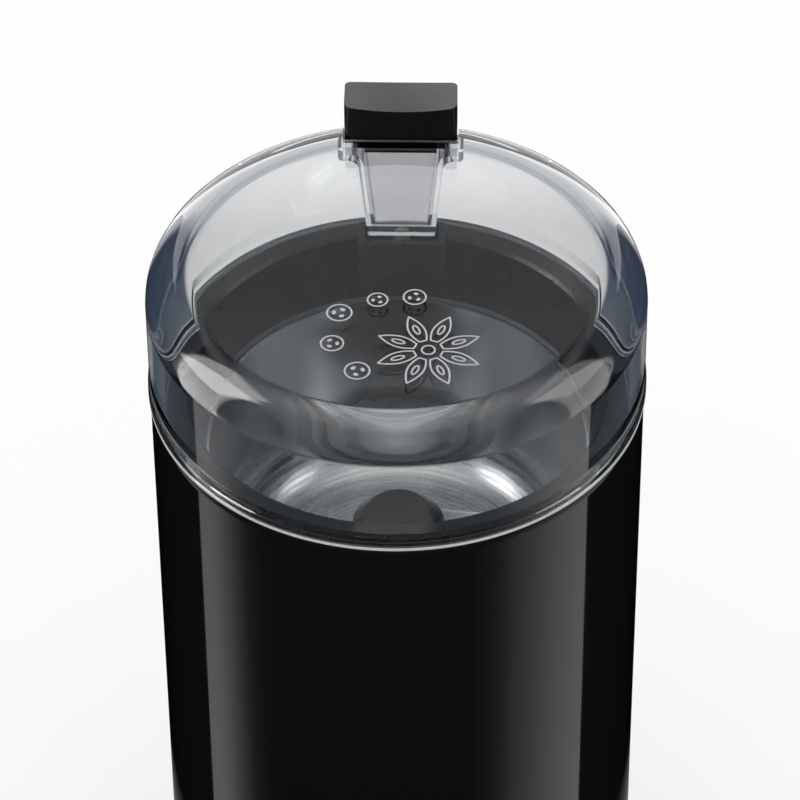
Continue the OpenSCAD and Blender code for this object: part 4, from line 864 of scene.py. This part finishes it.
shoulder = Vector((0, 0, lid_low.z - 0.1))
softbox("left_softbox", -89, 17, 300, 960, 5.0)
softbox("right_softbox", 88, 17, 300, 960, 2.2)
backdrop_foot, backdrop_top = -60, 700
backdrop = spin_wall("backdrop", 600, radians(152), radians(208), backdrop_foot, backdrop_top)
material, tree, glow = emission_material("backdrop")
spot = add_node(tree, "TexCoord").outputs["Object"]
height = add_node(tree, "SeparateXYZ", {"Vector": spot}).outputs["Z"]
share = add_node(tree, "MapRange", {"Value": height, "From Min": backdrop_foot * MM,
                                    "From Max": backdrop_top * MM})
ramp = add_node(tree, "ValToRGB", {"Fac": share.outputs[0]})
for k, (rise, level) in enumerate(((-60, 1.0), (590, 1.0), (630, 0.95), (656, 0.0))):
    position = (rise - backdrop_foot) / (backdrop_top - backdrop_foot)
    elements = ramp.color_ramp.elements
    element = elements[k] if k < 2 else elements.new(position)
    element.position = position
    element.color = (level, level, level, 1)
tree.links.new(ramp.outputs[0], glow.inputs["Color"])
glow.inputs["Strength"].default_value = 2.2
backdrop.data.materials.append(material)
hide_from(backdrop, "camera", "diffuse", "transmission", "volume_scatter", "shadow")

clear_selection()
bpy.ops.mesh.primitive_circle_add(vertices=96, radius=0.5, fill_type="NGON")
floor = bpy.context.object
floor.name = "floor"
floor_material = bpy.data.materials.new("pale_floor")
floor_material.use_nodes = True
tree = floor_material.node_tree
tree.nodes.clear()
floor_tone = 0.45
pale = add_node(tree, "BsdfDiffuse", {"Color": (floor_tone, floor_tone, floor_tone, 1)})
path = add_node(tree, "LightPath")
lift = add_node(tree, "Math", {0: path.outputs["Is Camera Ray"], 1: 1 - floor_tone * bright},
                operation="MULTIPLY")
glow = add_node(tree, "Emission", {"Strength": lift.outputs[0]})
lit = add_node(tree, "AddShader", {0: pale.outputs[0], 1: glow.outputs[0]})
reach = add_node(tree, "VectorMath", {0: add_node(tree, "TexCoord").outputs["Object"]},
                 operation="LENGTH").outputs["Value"]
# Gloss mirrors the floor only close to the foot, and clear plastic shows none of it
floor_seen, floor_gone = 46, 75
faded = add_node(tree, "MapRange", {"Value": reach, "From Min": floor_seen * MM,
                                    "From Max": floor_gone * MM})
mirrored = add_node(tree, "Math", {0: faded.outputs[0], 1: path.outputs["Is Glossy Ray"]},
                    operation="MULTIPLY")
hidden = add_node(tree, "Math", {0: mirrored.outputs[0], 1: path.outputs["Is Transmission Ray"]},
                  operation="MAXIMUM")
gone = add_node(tree, "BsdfTransparent")
mix = add_node(tree, "MixShader", {0: hidden.outputs[0], 1: lit.outputs[0],
                                   2: gone.outputs[0]})
add_node(tree, "OutputMaterial", {"Surface": mix.outputs[0]})
floor.data.materials.append(floor_material)

world = bpy.data.worlds.new("studio")
bpy.context.scene.world = world
world.use_nodes = True
tree = world.node_tree
tree.nodes.clear()
direction = add_node(tree, "TexCoord").outputs["Generated"]
axes = add_node(tree, "SeparateXYZ", {"Vector": direction})


def sky(axis, stops):
    """A tone that follows (share of the direction along an axis, hex tone) stops."""
    share = add_node(tree, "MapRange", {"Value": axes.outputs[axis], "From Min": -1.0,
                                        "From Max": 1.0})
    ramp = add_node(tree, "ValToRGB", {"Fac": share.outputs[0]})
    for k, (rise, tone) in enumerate(stops):
        elements = ramp.color_ramp.elements
        element = elements[k] if k < 2 else elements.new((rise + 1) / 2)
        element.position = (rise + 1) / 2
        element.color = linear(tone)
    return ramp.outputs[0]


path = add_node(tree, "LightPath")
plain = add_node(tree, "Background", {"Color": (1, 1, 1, 1), "Strength": bright})
mirrored = add_node(tree, "Background", {"Color": sky("Z", [
    (0.0, "#000000"), (0.2, "#444648"), (0.75, "#444648"), (0.93, "#ffffff")])})
# Through the lid the room behind is pale, and the dark room shows on both sides of it. The
# pale part is given in shares of the direction, and it widens upwards
pale_shift, pale_widens, pale_edge = 0.02, -0.35, -0.231
pale_none, pale_full = 0.3, 0.2
off_axis = add_node(tree, "Math", {0: axes.outputs["X"], 1: pale_shift}, operation="ADD")
aside = add_node(tree, "Math", {0: off_axis.outputs[0]}, operation="ABSOLUTE")
wider = add_node(tree, "Math", {0: axes.outputs["Z"], 1: pale_widens, 2: pale_edge},
                 operation="MULTIPLY_ADD")
edge = add_node(tree, "Math", {0: aside.outputs[0], 1: wider.outputs[0]}, operation="ADD")
window = add_node(tree, "MapRange", {"Value": edge.outputs[0], "From Min": pale_none,
                                     "From Max": pale_full}, interpolation_type="SMOOTHSTEP")
behind = sky("Z", [(-0.64, "#ececee"), (-0.5, "#c4c6ca"), (-0.3, "#b4b8bd"), (0.2, "#a0a5ac"),
                   (0.45, "#6b7480"), (0.6, "#d0d4d8"), (0.72, "#d0d4d8"), (0.8, "#6b7480"),
                   (0.95, "#ffffff")])
dark_room = sky("Z", [(-0.7, "#6b7480"), (-0.4, "#3a4456"), (0.8, "#353f52"),
                      (0.95, "#ffffff")])
room = add_node(tree, "Mix", {0: window.outputs[0], 6: dark_room, 7: behind}, data_type="RGBA")
through = add_node(tree, "Background", {"Color": room.outputs[2]})
glossy = add_node(tree, "MixShader", {0: path.outputs["Is Glossy Ray"], 1: plain.outputs[0],
                                      2: mirrored.outputs[0]})
inside = add_node(tree, "MixShader", {0: path.outputs["Is Transmission Ray"],
                                      1: glossy.outputs[0], 2: through.outputs[0]})
white = add_node(tree, "Background", {"Color": (1, 1, 1, 1), "Strength": 1.0})
both = add_node(tree, "MixShader", {0: path.outputs["Is Camera Ray"], 1: inside.outputs[0],
                                    2: white.outputs[0]})
add_node(tree, "OutputWorld", {"Surface": both.outputs[0]})

elevation = radians(41.74)
azimuth = radians(1.65)
roll = radians(0.5)
distance = 809.0
focal_px = 4543.0
image_px = 800.0
aim_right, aim_down = 0.463, 3.57
back = Vector((sin(azimuth) * cos(elevation), -cos(azimuth) * cos(elevation), sin(elevation)))
right = Vector((cos(azimuth), sin(azimuth), 0))
up = back.cross(right)
aim = shoulder + right * aim_right - up * aim_down
bpy.ops.object.camera_add()
camera = bpy.context.object
camera.data.sensor_width = 36.0
camera.data.lens = focal_px / image_px * camera.data.sensor_width
camera.location = (shoulder + back * distance) * MM
camera.rotation_mode = "QUATERNION"
look = aim * MM - camera.location
camera.rotation_quaternion = look.to_track_quat("-Z", "Y") @ Quaternion((0, 0, 1), -roll)
bpy.context.scene.camera = camera
bpy.context.scene.view_settings.view_transform = "Standard"
